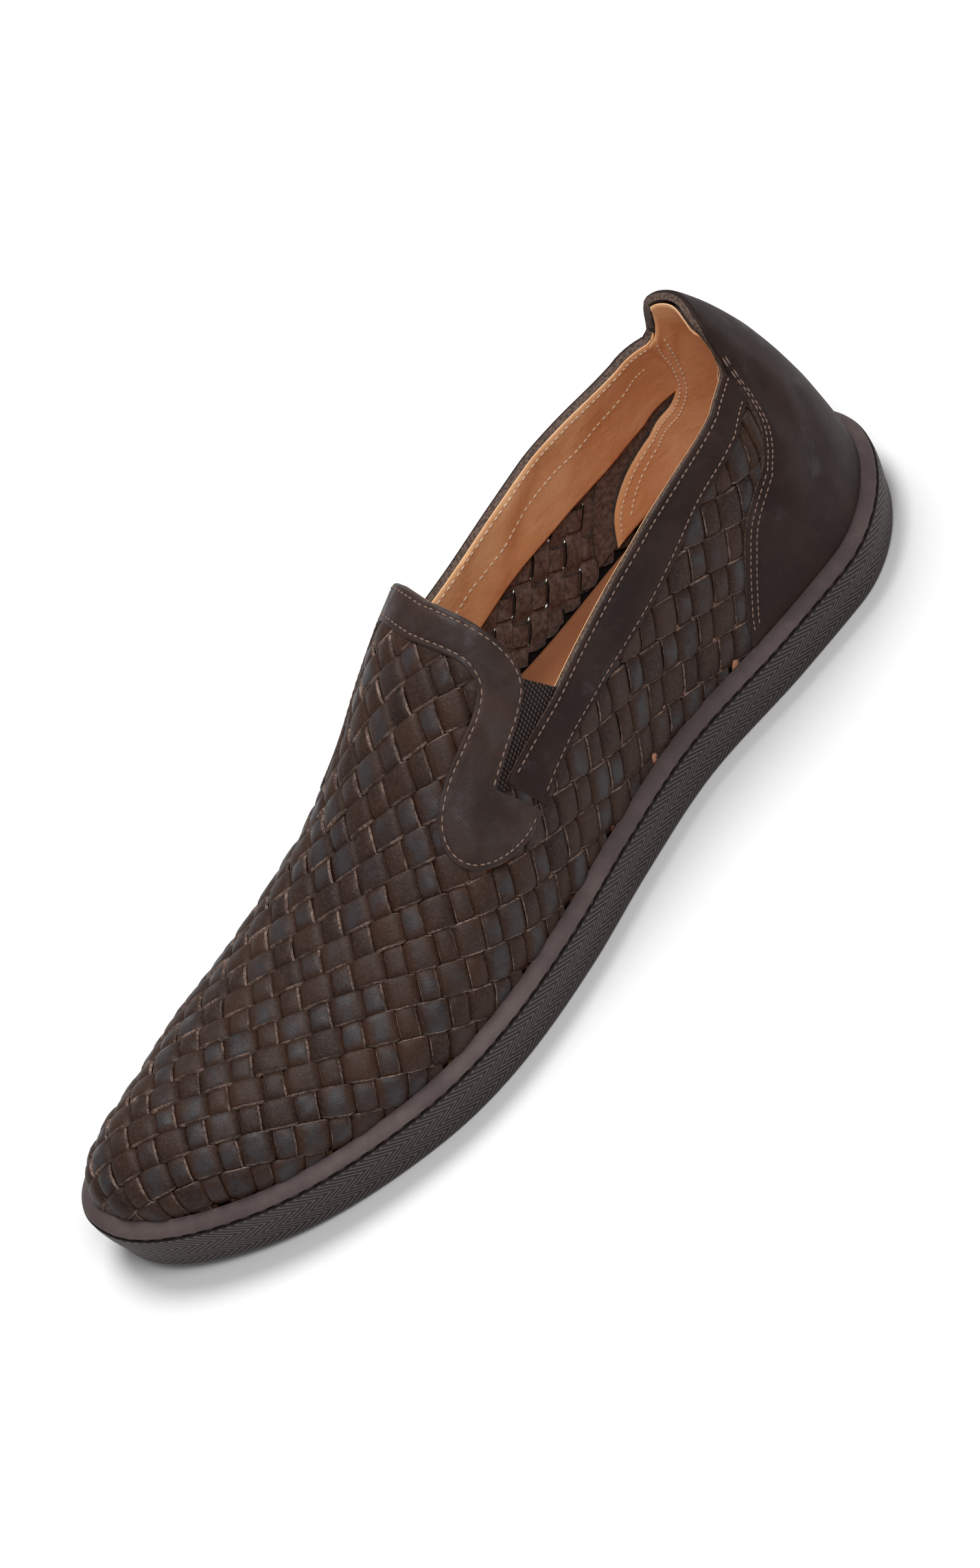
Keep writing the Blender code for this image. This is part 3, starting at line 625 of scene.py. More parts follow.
def panel(name, loop, top, bottom, materials, insets):
    """A sheet on the last: top and bottom are functions of the flat place and its distance from the edge."""
    loop = divided(loop, LOOP_STEP)
    rings = [inset_points(loop, d, LOOP_STEP) for d in insets]
    loose = np.concatenate([*rings, filling(loop, PANEL_STEP, insets[-1] + PANEL_STEP * 0.55)])
    flat, faces = triangles(loop, loose)
    distance = clearance(flat, loop)
    distance[:len(loop)] = 0
    count, edge = len(flat), len(loop)
    points = np.concatenate([LAST.at(flat, top(flat, distance)), LAST.at(flat, bottom(flat, distance))])
    walls = [(count + i, count + (i + 1) % edge, (i + 1) % edge, i) for i in range(edge)]
    solid = [*faces.tolist(), *(faces[:, ::-1] + count).tolist(), *walls]
    slots = [0] * len(faces) + [2] * len(faces) + [1] * edge
    return add_piece(name, points, solid, materials, slots, flat=np.tile(flat, (2, 1)))


# Materials


class Shades:
    """A material's node tree, with short ways to add the nodes that the leathers and rubbers share."""

    def __init__(self, name, colour, roughness, specular=0.5):
        self.material = bpy.data.materials.new(name)
        self.material.use_nodes = True
        self.nodes = self.material.node_tree.nodes
        self.links = self.material.node_tree.links
        self.shader = self.nodes["Principled BSDF"]
        self.shader.inputs["Base Color"].default_value = (*colour, 1)
        self.shader.inputs["Roughness"].default_value = roughness
        self.shader.inputs["Specular IOR Level"].default_value = specular
        self.height = None

    def add(self, kind, **settings):
        node = self.nodes.new(kind)
        for key, value in settings.items():
            setattr(node, key, value)
        return node

    def wire(self, source, target):
        self.links.new(source, target)

    def put(self, socket, source):
        if hasattr(source, "is_linked"):
            self.links.new(source, socket)
        else:
            socket.default_value = source

    def place(self):
        return self.add("ShaderNodeTexCoord").outputs["Object"]

    def flat(self):
        return self.add("ShaderNodeUVMap", uv_map="flat").outputs["UV"]

    def read(self, key):
        return self.add("ShaderNodeAttribute", attribute_name=key).outputs["Fac"]

    def noise(self, size, detail=3.0, rough=0.55, distort=0.0):
        node = self.add("ShaderNodeTexNoise")
        self.wire(self.place(), node.inputs["Vector"])
        node.inputs["Scale"].default_value = 1 / size
        node.inputs["Detail"].default_value = detail
        node.inputs["Roughness"].default_value = rough
        node.inputs["Distortion"].default_value = distort
        return node.outputs["Fac"]

    def cells(self, size):
        node = self.add("ShaderNodeTexVoronoi")
        self.wire(self.place(), node.inputs["Vector"])
        node.inputs["Scale"].default_value = 1 / size
        return node.outputs["Distance"]

    def maths(self, operation, *values):
        node = self.add("ShaderNodeMath", operation=operation)
        for socket, value in zip(node.inputs, values):
            self.put(socket, value)
        return node.outputs["Value"]

    def ranged(self, source, low, high, to_low=0.0, to_high=1.0):
        node = self.add("ShaderNodeMapRange", clamp=True, interpolation_type="SMOOTHSTEP")
        for key, value in (("Value", source), ("From Min", low), ("From Max", high),
                           ("To Min", to_low), ("To Max", to_high)):
            self.put(node.inputs[key], value)
        return node.outputs["Result"]

    def cloud(self, noise, *levels):
        """Noise of a given size, detail and roughness, cut off between two levels."""
        return self.ranged(self.noise(*noise), *levels)

    def mix(self, share, first, second):
        node = self.add("ShaderNodeMix", data_type="RGBA")
        self.put(node.inputs["Factor"], share)
        for socket, value in ((node.inputs[6], first), (node.inputs[7], second)):
            self.put(socket, (*value, 1) if isinstance(value, tuple) else value)
        return node.outputs[2]

    def colour(self, source):
        self.wire(source, self.shader.inputs["Base Color"])

    def roughness(self, source):
        self.wire(source, self.shader.inputs["Roughness"])

    def bump(self, source, depth):
        node = self.add("ShaderNodeBump")
        node.inputs["Distance"].default_value = depth
        node.inputs["Strength"].default_value = 1.0
        self.wire(source, node.inputs["Height"])
        if self.height is not None:
            self.wire(self.height, node.inputs["Normal"])
        self.height = node.outputs["Normal"]
        self.wire(self.height, self.shader.inputs["Normal"])


def grain(shades, pore=0.0006, depth=0.00006):
    """Fine leather grain: pores and a soft unevenness."""
    shades.bump(shades.noise(0.0045, 3.0), depth * 3.5)
    shades.bump(shades.cells(pore), depth)
    shades.bump(shades.noise(pore * 0.45, 2.0), depth * 0.8)


def strip_leather():
    """Oiled brown strips, redder or darker by strip, with a bluish rub on their raised middles that is partly
    burnish and partly a painted sheen highlight, and painted shade where they dive under.
    """
    shades = Shades("strip_leather", (0.045, 0.026, 0.018), 0.5, 0.30)
    tone = shades.read("tone")
    base = shades.mix(tone, (0.017, 0.0086, 0.0063), (0.036, 0.0165, 0.0105))
    cloud = shades.cloud((0.013, 4.0, 0.6), 0.42, 0.66)
    base = shades.mix(shades.maths("MULTIPLY", cloud, 0.55), base, (0.046, 0.0195, 0.0110))
    # Painted sheen highlight: a bluish grey, partly burnish, laid on the raised middle of each float where
    # light catches it
    patch = shades.cloud((0.0035, 4.0, 0.65), 0.35, 0.75)
    patch = shades.maths("ADD", 0.45, shades.maths("MULTIPLY", patch, 0.9))
    rub_and_sheen = shades.maths("MULTIPLY", shades.read("rub_and_sheen"), patch)
    base = shades.mix(shades.ranged(rub_and_sheen, 0.02, 0.80, 0.0, 0.92), base, (0.036, 0.035, 0.039))
    speck = shades.cloud((0.0008, 4.0, 0.7), 0.42, 0.72, 0.0, 0.60)
    base = shades.mix(speck, base, (0.070, 0.040, 0.029))
    # Painted shade: near black where the strip dives under its neighbours
    painted_sunk_shade = shades.ranged(shades.read("height"), -0.78, -0.20)
    shades.colour(shades.mix(painted_sunk_shade, (0.003, 0.0018, 0.0015), base))
    shades.roughness(shades.ranged(rub_and_sheen, 0.0, 1.0, 0.50, 0.34))
    gloss = shades.ranged(shades.read("height"), -0.5, 0.6, 0.0, 0.20)
    shades.wire(gloss, shades.shader.inputs["Specular IOR Level"])
    grain(shades, 0.0005, 0.00005)
    return shades.material


def raw_edge():
    """The cut edge of a strip: pale, fibrous, darkened with painted shade where the strip dives under."""
    shades = Shades("raw_edge", (0.36, 0.26, 0.20), 0.85, 0.2)
    fibre = shades.cloud((0.0007, 4.0, 0.7), 0.3, 0.62)
    stretch = shades.cloud((0.0055, 3.0, 0.6), 0.36, 0.66, 0.12, 1.0)
    fibre = shades.maths("MULTIPLY", fibre, stretch)
    pale = shades.mix(fibre, (0.046, 0.028, 0.022), (0.33, 0.228, 0.186))
    # Painted shade where the strip dives under
    painted_sunk_shade = shades.ranged(shades.read("height"), -0.7, 0.3)
    shades.colour(shades.mix(painted_sunk_shade, (0.014, 0.0085, 0.0065), pale))
    shades.bump(shades.noise(0.0003, 3.0), 0.0001)
    return shades.material


def suede():
    """The rough flesh side of the strips, seen inside the shoe."""
    shades = Shades("suede", (0.075, 0.052, 0.042), 0.95, 0.15)
    fluff = shades.cloud((0.0016, 5.0, 0.7), 0.3, 0.7)
    shades.colour(shades.mix(fluff, (0.085, 0.060, 0.050), (0.24, 0.175, 0.145)))
    shades.bump(shades.noise(0.0006, 4.0, 0.7), 0.00035)
    return shades.material


def smooth_leather(name, dark, light, rub_and_sheen_from, gloss, dull):
    """The overlays: nubuck-like oiled leather with soft cloudy rubs, partly wear and partly a painted sheen
    highlight.
    """
    shades = Shades(name, light, dull, gloss)
    cloud = shades.cloud((0.022, 4.0, 0.6), 0.36, 0.68)
    base = shades.mix(cloud, dark, light)
    # Cloudy rubs: smoother as wear, and greyed as a painted sheen highlight
    rub_and_sheen = shades.cloud((0.010, 5.0, 0.62, 0.4), rub_and_sheen_from, rub_and_sheen_from + 0.28)
    base = shades.mix(shades.maths("MULTIPLY", rub_and_sheen, 0.6), base, (0.058, 0.048, 0.048))
    speck = shades.cloud((0.0006, 3.0, 0.6), 0.55, 0.8, 0.0, 0.30)
    shades.colour(shades.mix(speck, base, tuple(c * 1.8 for c in light)))
    shades.roughness(shades.ranged(rub_and_sheen, 0.0, 1.0, dull, dull - 0.18))
    grain(shades, 0.00045, 0.00004)
    return shades.material


def cut_edge():
    shades = Shades("cut_edge", (0.060, 0.040, 0.031), 0.75, 0.3)
    fibre = shades.cloud((0.0008, 4.0, 0.7), 0.35, 0.7)
    shades.colour(shades.mix(fibre, (0.040, 0.024, 0.018), (0.17, 0.112, 0.084)))
    shades.bump(shades.noise(0.0004, 3.0), 0.00008)
    return shades.material


def tan_leather(name, light, dark, soft=0.5):
    """Vegetable-tanned lining with faint wrinkles."""
    shades = Shades(name, light, soft, 0.4)
    cloud = shades.cloud((0.018, 4.0, 0.55), 0.34, 0.70)
    base = shades.mix(cloud, dark, light)
    speck = shades.cloud((0.0005, 3.0, 0.6), 0.5, 0.8, 0.0, 0.25)
    shades.colour(shades.mix(speck, base, tuple(c * 0.72 for c in dark)))
    shades.bump(shades.noise(0.006, 3.0, distort=0.8), 0.00035)
    shades.bump(shades.cells(0.0006), 0.00004)
    return shades.material


def thread(name, colour):
    shades = Shades(name, colour, 0.6, 0.3)
    shades.bump(shades.noise(0.00025, 2.0), 0.00006)
    return shades.material


def elastic():
    """Woven elastic: small crossing yarns on the flat layout."""
    shades = Shades("elastic", (0.03, 0.02, 0.018), 0.85, 0.25)
    parts = shades.add("ShaderNodeSeparateXYZ")
    shades.wire(shades.flat(), parts.inputs[0])
    x, y = parts.outputs[0], parts.outputs[1]
    pitch = 0.0011
    one = shades.maths("SINE", shades.maths("MULTIPLY", shades.maths("ADD", x, y), np.pi / pitch))
    two = shades.maths("SINE", shades.maths("MULTIPLY", shades.maths("SUBTRACT", x, y), np.pi / pitch))
    yarn = shades.ranged(shades.maths("MULTIPLY", one, two), -0.2, 0.7)
    shades.colour(shades.mix(yarn, (0.006, 0.0040, 0.0036), (0.100, 0.064, 0.055)))
    shades.bump(yarn, 0.0003)
    return shades.material


def rubber_wall():
    """Herringbone ribs on the wall: rows of slanting ribs that turn back at each row's edge, with a painted
    highlight on their crests and painted shade in the grooves between.
    """
    shades = Shades("rubber_wall", (0.040, 0.030, 0.028), 0.62, 0.35)
    parts = shades.add("ShaderNodeSeparateXYZ")
    shades.wire(shades.flat(), parts.inputs[0])
    along, up = parts.outputs[0], parts.outputs[1]
    zigzag = shades.maths("PINGPONG", up, RIB_ROW)
    lean = shades.maths("MULTIPLY", zigzag, RIB_SLANT)
    phase = shades.maths("MULTIPLY", shades.maths("ADD", along, lean), 2 * np.pi / RIB_PITCH)
    rib = shades.ranged(shades.maths("SINE", phase), -0.35, 0.90)
    # Painted shade in the grooves between ribs, a little uneven, and a painted highlight on the rib crests
    dust = shades.cloud((0.02, 4.0, 0.6), 0.4, 0.7)
    low = shades.mix(dust, (0.010, 0.0072, 0.0068), (0.018, 0.013, 0.012))
    shades.colour(shades.mix(rib, low, (0.125, 0.090, 0.085)))
    shades.bump(rib, 0.00055)
    shades.bump(shades.noise(0.0006, 2.0), 0.00004)
    return shades.material


def rubber_rim():
    shades = Shades("rubber_rim", (0.070, 0.052, 0.050), 0.66, 0.35)
    dust = shades.cloud((0.012, 5.0, 0.65), 0.35, 0.7)
    base = shades.mix(dust, (0.072, 0.049, 0.047), (0.110, 0.078, 0.075))
    speck = shades.cloud((0.0005, 3.0, 0.7), 0.55, 0.8, 0.0, 0.5)
    shades.colour(shades.mix(speck, base, (0.11, 0.09, 0.085)))
    shades.bump(shades.noise(0.0012, 4.0, 0.6), 0.00009)
    return shades.material


def rubber_dark():
    shades = Shades("rubber_dark", (0.018, 0.012, 0.011), 0.8, 0.3)
    shades.bump(shades.noise(0.001, 3.0), 0.00008)
    return shades.material


MATERIALS = {
    "strip": strip_leather(),
    "raw": raw_edge(),
    "suede": suede(),
    "overlay": smooth_leather("smooth_leather", (0.0185, 0.0090, 0.0074), (0.0330, 0.0170, 0.0135), 0.52,
                              gloss=0.16, dull=0.60),
    # The binding's rubs start lower, so more of it carries the painted sheen
    "binding": smooth_leather("binding_leather", (0.0260, 0.0133, 0.0106), (0.0510, 0.0265, 0.0205), 0.46,
                              gloss=0.24, dull=0.50),
    "cut": cut_edge(),
    # The lining's tan is painted far brighter than the leather, as painted light that stands in for light
    # reaching inside the shoe; the insole's darker tan is partly its own tone and partly painted shade
    "lining": tan_leather("tan_lining", (0.97, 0.57, 0.305), (0.86, 0.44, 0.205)),
    "insole": tan_leather("tan_insole", (0.50, 0.215, 0.105), (0.42, 0.165, 0.075), 0.55),
    "brown_thread": thread("brown_thread", (0.235, 0.150, 0.115)),
    "pale_thread": thread("pale_thread", (0.86, 0.70, 0.52)),
    "rim_thread": thread("rim_thread", (0.060, 0.038, 0.034)),
    "elastic": elastic(),
    "wall": rubber_wall(),
    "rim": rubber_rim(),
    "groove": rubber_dark(),
}


# Woven strips


def sharpened(wave):
    return np.tanh(2.0 * wave) / np.tanh(2.0)


def direction(angle):
    return PITCH * np.array([np.cos(np.radians(angle)), np.sin(np.radians(angle))])


def unsheared(place):
    """The flat layout under the weave's own straight lattice, which leans back along the quarters."""
    behind = np.maximum(0, SHEAR_START - place[..., 0])
    side = np.sign(place[..., 1])
    moved = place.copy()
    moved[..., 1] -= side * np.minimum(SHEAR / 2 * behind**2, np.abs(place[..., 1]))
    return moved


def strip_runs(line, crossing, lines):
    """Stretches of each strip where the weave shows, as (strip number, positions along it)."""
    at = np.arange(-70, 70, 1 / 8)
    for number in lines:
        centre = unsheared(np.array(WEAVE_ORIGIN) + at[:, None] * crossing + number * line)
        shown = (open_weave(centre) > -UNDERLAP) & (FIELDS["opening"](centre) < -OPENING_CLEAR)
        edges = np.flatnonzero(np.diff(np.concatenate([[0], shown.astype(int), [0]])))
        for first, last in zip(edges[::2], edges[1::2]):
            if last - first > 4:
                yield number, at[first:last]


def strips(name, line, crossing, width, thickness, bias, sign, seed):
    """One family of strips: each is a ribbon with a crowned top, cut sides and a rough back."""
    top = np.array([-1, -0.93, -0.60, 0, 0.60, 0.935, 1])
    lowered = np.array([0.55, 0.12, 0, 0, 0, 0.10, 0.8]) * 0.0003
    across = np.concatenate([top, [1.08, 0, -1.08]])
    frayed = np.array([0, 0, 0, 0, 0, 0.6, 1, 1, 0, 0]) * 0.07
    side_slots = [0] * 5 + [1, 1, 2, 2, 1]
    ring, base = len(across), 0
    points, faces, slots, tones, rub_and_sheen_parts, heights, flats = [], [], [], [], [], [], []
    for number, at in strip_runs(line, crossing, range(-60, 60)):
        wave = sharpened(sign * np.cos(np.pi * at) * (-1.0) ** number + bias)
        crossed = np.round(at).astype(int)
        pair = (crossed + FIRST_STRIP) % CHANCES, (number + FIRST_STRIP) % CHANCES
        chance = CHANCE[:, pair[1], pair[0]] if seed else CHANCE[:, pair[0], pair[1]]
        waver = np.interp(at, crossed, chance[0]) - 0.5
        half = width / 2 * (1 + 0.07 * wave + 0.05 * waver)
        drift = 0.05 * (np.interp(at, crossed, chance[1]) - 0.5)
        edge = across + frayed * (RANDOM.random(len(at)) - 0.5)[:, None]
        off = number + drift[:, None] + half[:, None] * edge
        lattice = np.array(WEAVE_ORIGIN) + at[:, None, None] * crossing + off[..., None] * line
        flat = unsheared(lattice)
        room = open_weave(flat[:, 3])
        fade = 0.30 + 0.70 * eased((room + 0.0004) / 0.0032)
        swing = WEAVE_SWING * (1 + 0.35 * (np.interp(at, crossed, chance[2]) - 0.5))
        centre = WEAVE_BASE + swing * wave * fade + creases(flat[:, 3])
        crown = STRIP_CROWN * (0.55 + 0.45 * wave)
        rise = np.empty((len(at), ring))
        rise[:, :7] = (centre + thickness / 2)[:, None] + crown[:, None] * (1 - top**2) - lowered
        rise[:, 7:] = (centre - thickness / 2)[:, None]
        points.append(LAST.at(flat.reshape(-1, 2), rise.ravel()))
        flats.append(flat.reshape(-1, 2))
        # Middle of each raised float: where its burnished rub and its painted sheen highlight go
        over = np.exp(-(((at - crossed) / 0.42) ** 2)) * np.maximum(wave, 0)
        rub_and_sheen = over * eased((chance[3] - 0.25) / 0.6)
        rub_and_sheen_parts.append((rub_and_sheen[:, None] * (1 - 0.35 * across**2)).ravel())
        tones.append(np.repeat(chance[4], ring))
        # The strip's rise, read by the materials for their gloss and for painted shade where it dives under
        heights.append(np.repeat(wave, ring))
        faces += tube(len(at), ring, base)
        slots += side_slots * (len(at) - 1)
        faces.append(tuple(base + c for c in range(ring))[::-1])
        faces.append(tuple(base + (len(at) - 1) * ring + c for c in range(ring)))
        slots += [1, 1]
        base += len(at) * ring
    if np.cross(crossing, line) > 0:
        faces = [face[::-1] for face in faces]
    materials = [MATERIALS["strip"], MATERIALS["raw"], MATERIALS["suede"]]
    values = {"tone": np.concatenate(tones), "rub_and_sheen": np.concatenate(rub_and_sheen_parts), "height": np.concatenate(heights)}
    return add_piece(name, np.concatenate(points), faces, materials, slots, 42, np.concatenate(flats), values)


def weave():
    across, along = direction(ACROSS_ANGLE), direction(ALONG_ANGLE)
    first = strips("woven_strips_across", along, across, ACROSS_WIDTH, ACROSS_THICKNESS, ACROSS_BIAS, 1, 0)
    second = strips("woven_strips_along", across, along, ALONG_WIDTH, ALONG_THICKNESS, ALONG_BIAS, -1, 1)
    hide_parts("upper")


# Overlays and linings


def soft_wave(flat, size, key):
    """A gentle unevenness over the flat layout, from a few sine waves."""
    rng = np.random.default_rng(key)
    total = np.zeros(len(flat))
    for _ in range(7):
        heading = rng.uniform(0, np.pi)
        wave = 2 * np.pi / (size * rng.uniform(0.7, 1.6))
        total += np.sin((flat @ (np.cos(heading), np.sin(heading))) * wave + rng.uniform(0, 6.28))
    return total / 7


CREASES = np.array([
    (1, 0.540, 0.560, 0.585, 0.440, 0.0045, -0.0007),
    (1, 0.528, 0.500, 0.560, 0.380, 0.0030, 0.0006),
    (1, 0.470, 0.640, 0.560, 0.610, 0.0035, 0.0005),
    (1, 0.050, 0.600, 0.110, 0.500, 0.0050, 0.0005),
    (1, 0.240, 0.430, 0.310, 0.400, 0.0050, 0.0004),
    (1, -0.640, 0.560, -0.380, 0.480, 0.0085, 0.0008),
    (1, -0.560, 0.330, -0.200, 0.240, 0.0075, 0.0006),
    (1, -0.180, 0.400, -0.020, 0.300, 0.0070, -0.0005),
    (1, 0.640, 0.520, 0.675, 0.980, 0.0075, 0.0007),
    (1, 0.730, 0.450, 0.755, 0.980, 0.0070, 0.0006),
    (-1, 0.660, 0.480, 0.675, 0.980, 0.0075, 0.0007),
    (-1, 0.060, 0.560, 0.130, 0.360, 0.0030, 0.0006),
    (-1, 0.130, 0.520, 0.220, 0.330, 0.0028, -0.0006),
    (-1, 0.200, 0.500, 0.270, 0.300, 0.0030, 0.0007),
    (-1, 0.280, 0.460, 0.330, 0.260, 0.0030, -0.0006),
    (-1, -0.700, 0.640, -0.420, 0.560, 0.0045, 0.0006),
])


def creases(flat):
    """Rise of the listed creases: each row is a side, two places, a half width and a depth."""
    total = np.zeros(len(flat))
    for side, s1, g1, s2, g2, width, depth in CREASES:
        ends = LAST.flat([(s1, g1), (s2, g2)], side)
        total -= depth * np.exp(-((clearance_to_path(flat, ends) / width) ** 2))
    return total


def overlay_top(rows, key):
    """Height of an overlay: folded over at the foot opening, cut elsewhere, pressed in along its stitches."""
    def top(flat, distance):
        fold = eased(1 - (np.abs(FIELDS["opening"](flat)) - 0.0012) / 0.0014)
        folded = 0.0009 * (1 - np.sqrt(np.clip(1 - (1 - np.clip(distance / FOLD_ROUND, 0, 1)) ** 2, 0, 1)))
        cut = 0.00018 * (1 - eased(distance / RAW_ROUND))
        height = OVERLAY_TOP - folded * fold - cut * (1 - fold)
        for row in rows:
            press = np.exp(-((clearance_to_path(flat, row) / PRESS_WIDTH) ** 2))
            height = height - PRESS_DEPTH * press
        uneven = 0.00016 * soft_wave(flat, 0.018, key) + creases(flat)
        return height + uneven * eased(distance / EDGE_CALM)
    return top


def shifted(path, distance, loop):
    """A path moved sideways by a distance, to the side that lies inside the loop."""
    path = even(path, LOOP_STEP)
    along = np.gradient(path, axis=0)
    along /= np.linalg.norm(along, axis=1)[:, None]
    normal = np.column_stack([-along[:, 1], along[:, 0]])
    middle = len(path) // 2
    if not inside(path[middle:middle + 1] + normal[middle] * distance, loop)[0]:
        normal = -normal
    moved = path + normal * distance
    return moved[inside(moved, loop) & (clearance(moved, loop) > distance * 0.9)]


def stitch_rows():
    """Rows of stitches on each overlay, as paths on the flat layout."""
    rows = {name: [] for name in ("heel_counter", "collar_band_outer", "collar_band_inner", "throat_binding")}
    for side, place in ((1, "outer"), (-1, "inner")):
        band = "collar_band_" + place
        top = curve(collar_rows(BAND_BACK, BAND_FRONT), side)
        rows[band] += [shifted(top, STITCH_INSET, LOOPS[band]),
                       shifted(curve(BAND_EDGE, side), STITCH_INSET, LOOPS[band])]
        front = curve(COUNTER_FRONT, side)
        for gap in (STITCH_INSET, STITCH_INSET + ROW_GAP):
            rows["heel_counter"].append(shifted(front, gap, LOOPS["heel_counter"]))
    throat, edge = both(THROAT), both(BINDING_EDGE)
    for pair in (throat, edge):
        whole = np.concatenate([pair[1][::-1], pair[-1][1:]])
        rows["throat_binding"].append(shifted(whole, STITCH_INSET, LOOPS["throat_binding"]))
    return rows


ROWS = stitch_rows()
OVERLAY_INSETS = (0.0003, 0.0007, 0.0011, 0.0015, 0.0019, 0.0025, 0.0031, 0.0038)


def overlays():
    for key, name in enumerate(ROWS):
        leather = MATERIALS["binding" if name == "throat_binding" else "overlay"]
        materials = [leather, MATERIALS["cut"], MATERIALS["suede"]]
        top = overlay_top(ROWS[name], key)
        piece = panel(name + "_leather", LOOPS[name], top, lambda flat, d: np.full(len(flat), OVERLAY_BOTTOM),
                      materials, OVERLAY_INSETS)
        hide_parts(name)


def gores():
    materials = [MATERIALS["elastic"]] * 3
    for side, place in ((1, "outer"), (-1, "inner")):
        loop = turned_left(curve(GORE, side))
        piece = panel(f"gore_{place}_elastic", loop, lambda flat, d: np.full(len(flat), -0.0002),
                      lambda flat, d: np.full(len(flat), -0.0014), materials, (0.0010,))
        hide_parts("gore_" + place)


def throat_lining_loop():
    back, front = both(THROAT[:-2]), both(THROAT[:-2] + (0.075, 0))
    return turned_left(np.concatenate([back[1][::-1], back[-1][1:], front[-1][::-1], front[1][1:]]))


def lining_face(flat, distance, top):
    """Rise of a lining's inner face, a little uneven away from its edges."""
    uneven = creases(flat) - 0.0002 * (1 + soft_wave(flat, 0.02, 42))
    return top - LINING_THICKNESS * eased(0.35 + distance / 0.0012) + uneven * eased(distance / EDGE_CALM)


def lining_row(path, gap, loop, top):
    """A row of stitches on a lining, as places with their rise."""
    row = shifted(path, gap, loop)
    return np.column_stack([row, lining_face(row, clearance(row, loop), top) - 0.00005])


def lining(name, loop, top):
    def below(flat, distance):
        return lining_face(flat, distance, top)

    def above(flat, distance):
        return np.full(len(flat), top)

    materials = [MATERIALS["cut"], MATERIALS["lining"], MATERIALS["lining"]]
    piece = panel(name, loop, above, below, materials, (0.0006, 0.0013, 0.0022))


def linings():
    """Tan leather inside the collar, heel and throat; gives back its stitch paths with their rise."""
    heel = heel_loop(LINING_FRONT)
    deeper = LINING_TOP - LINING_THICKNESS
    lining("throat_lining", throat_lining_loop(), LINING_TOP)
    lining("heel_lining", heel, deeper)
    rows = []
    for side, place in ((1, "outer"), (-1, "inner")):
        top = curve(collar_rows(LINING_BACK, LINING_END), side)
        loop = turned_left(np.concatenate([top, curve(LINING_LOW, side)[::-1]]))
        lining("collar_lining_" + place, loop, LINING_TOP)
        rows += [lining_row(top, gap, loop, LINING_TOP) for gap in (STITCH_INSET, LINING_ROW)]
        front = curve(LINING_FRONT, side)
        rows += [lining_row(front, gap, heel, deeper) for gap in (STITCH_INSET, STITCH_INSET + LINING_GAP)]
    return rows


# Stitches


def thread_rings(line, side, up, size):
    """Rings of points round a short thread."""
    turn = np.linspace(0, 2 * np.pi, THREAD_SIDES, endpoint=False)[None, :, None]
    return (line[:, None] + size[:, None, None] * (np.cos(turn) * side + np.sin(turn) * up)).reshape(-1, 3)


def stitches(name, rows, material, radius):
    """Short rounded threads along rows of places, each with its rise above the surface."""
    t = np.linspace(-1, 1, THREAD_RINGS)
    size = radius * np.sqrt(np.clip(1 - np.abs(t) ** 2.6, 0.04, 1))
    reach = STITCH_LENGTH / 2 / ROW_STEP
    points, faces = [], []
    for row in rows:
        run = even(row, ROW_STEP)
        for k in range(int(len(run) * ROW_STEP / STITCH_PITCH)):
            middle = (k + 0.5) * STITCH_PITCH / ROW_STEP
            ends = np.clip([int(middle - reach), int(middle + reach)], 0, len(run) - 1)
            place, rise = run[int(middle):int(middle) + 1, :2], run[int(middle), 2]
            start, end = LAST.at(run[ends, :2], run[ends, 2])
            above = LAST.at(place, rise + 0.001)[0]
            centre = LAST.at(place, rise)[0]
            axis = end - start
            length = np.linalg.norm(axis)
            if length < STITCH_LENGTH * 0.4:
                continue
            axis /= length
            up = above - centre
            up -= axis * (up @ axis)
            up /= np.linalg.norm(up)
            line = centre + (t * length / 2)[:, None] * axis
            base = sum(map(len, points))
            points.append(thread_rings(line, np.cross(axis, up), THREAD_FLATNESS * up, size))
            faces += tube(THREAD_RINGS, THREAD_SIDES, base)
            faces.append(tuple(range(base, base + THREAD_SIDES))[::-1])
            faces.append(tuple(range(base + len(points[-1]) - THREAD_SIDES, base + len(points[-1]))))
    piece = add_piece(name, np.concatenate(points), faces, [MATERIALS[material]], angle=80)


def all_stitches(lining_rows):
    outside = []
    for name, rows in ROWS.items():
        for row in rows:
            distance = clearance(row, divided(LOOPS[name], LOOP_STEP))
            rise = creases(row) * eased(distance / EDGE_CALM)
            outside.append(np.column_stack([row, rise + OVERLAY_TOP - 0.00008]))
    stitches("overlay_stitches", outside, "brown_thread", THREAD)
    stitches("lining_stitches", lining_rows, "pale_thread", LINING_THREAD)


# Sole


def rim_frame(count):
    """Points of the upper's foot round the shoe, with their outward direction, lift and run."""
    half = np.linspace(-1, 2, count)
    flat = np.concatenate([LAST.flat(np.column_stack([half, 0 * half]), 1),
                           LAST.flat(np.column_stack([half, 0 * half]), -1)[-2:0:-1]])
    foot = LAST.at(flat, 0.0)
    out = LAST.at(flat, 0.001) - foot
    out[:, 2] = 0
    out /= np.linalg.norm(out, axis=1)[:, None]
    closed = np.concatenate([foot, foot[:1]])
    run = np.concatenate([[0], np.cumsum(np.linalg.norm(np.diff(closed, axis=0), axis=1))])
    return foot, out, toe_lift(foot[:, 0]), run


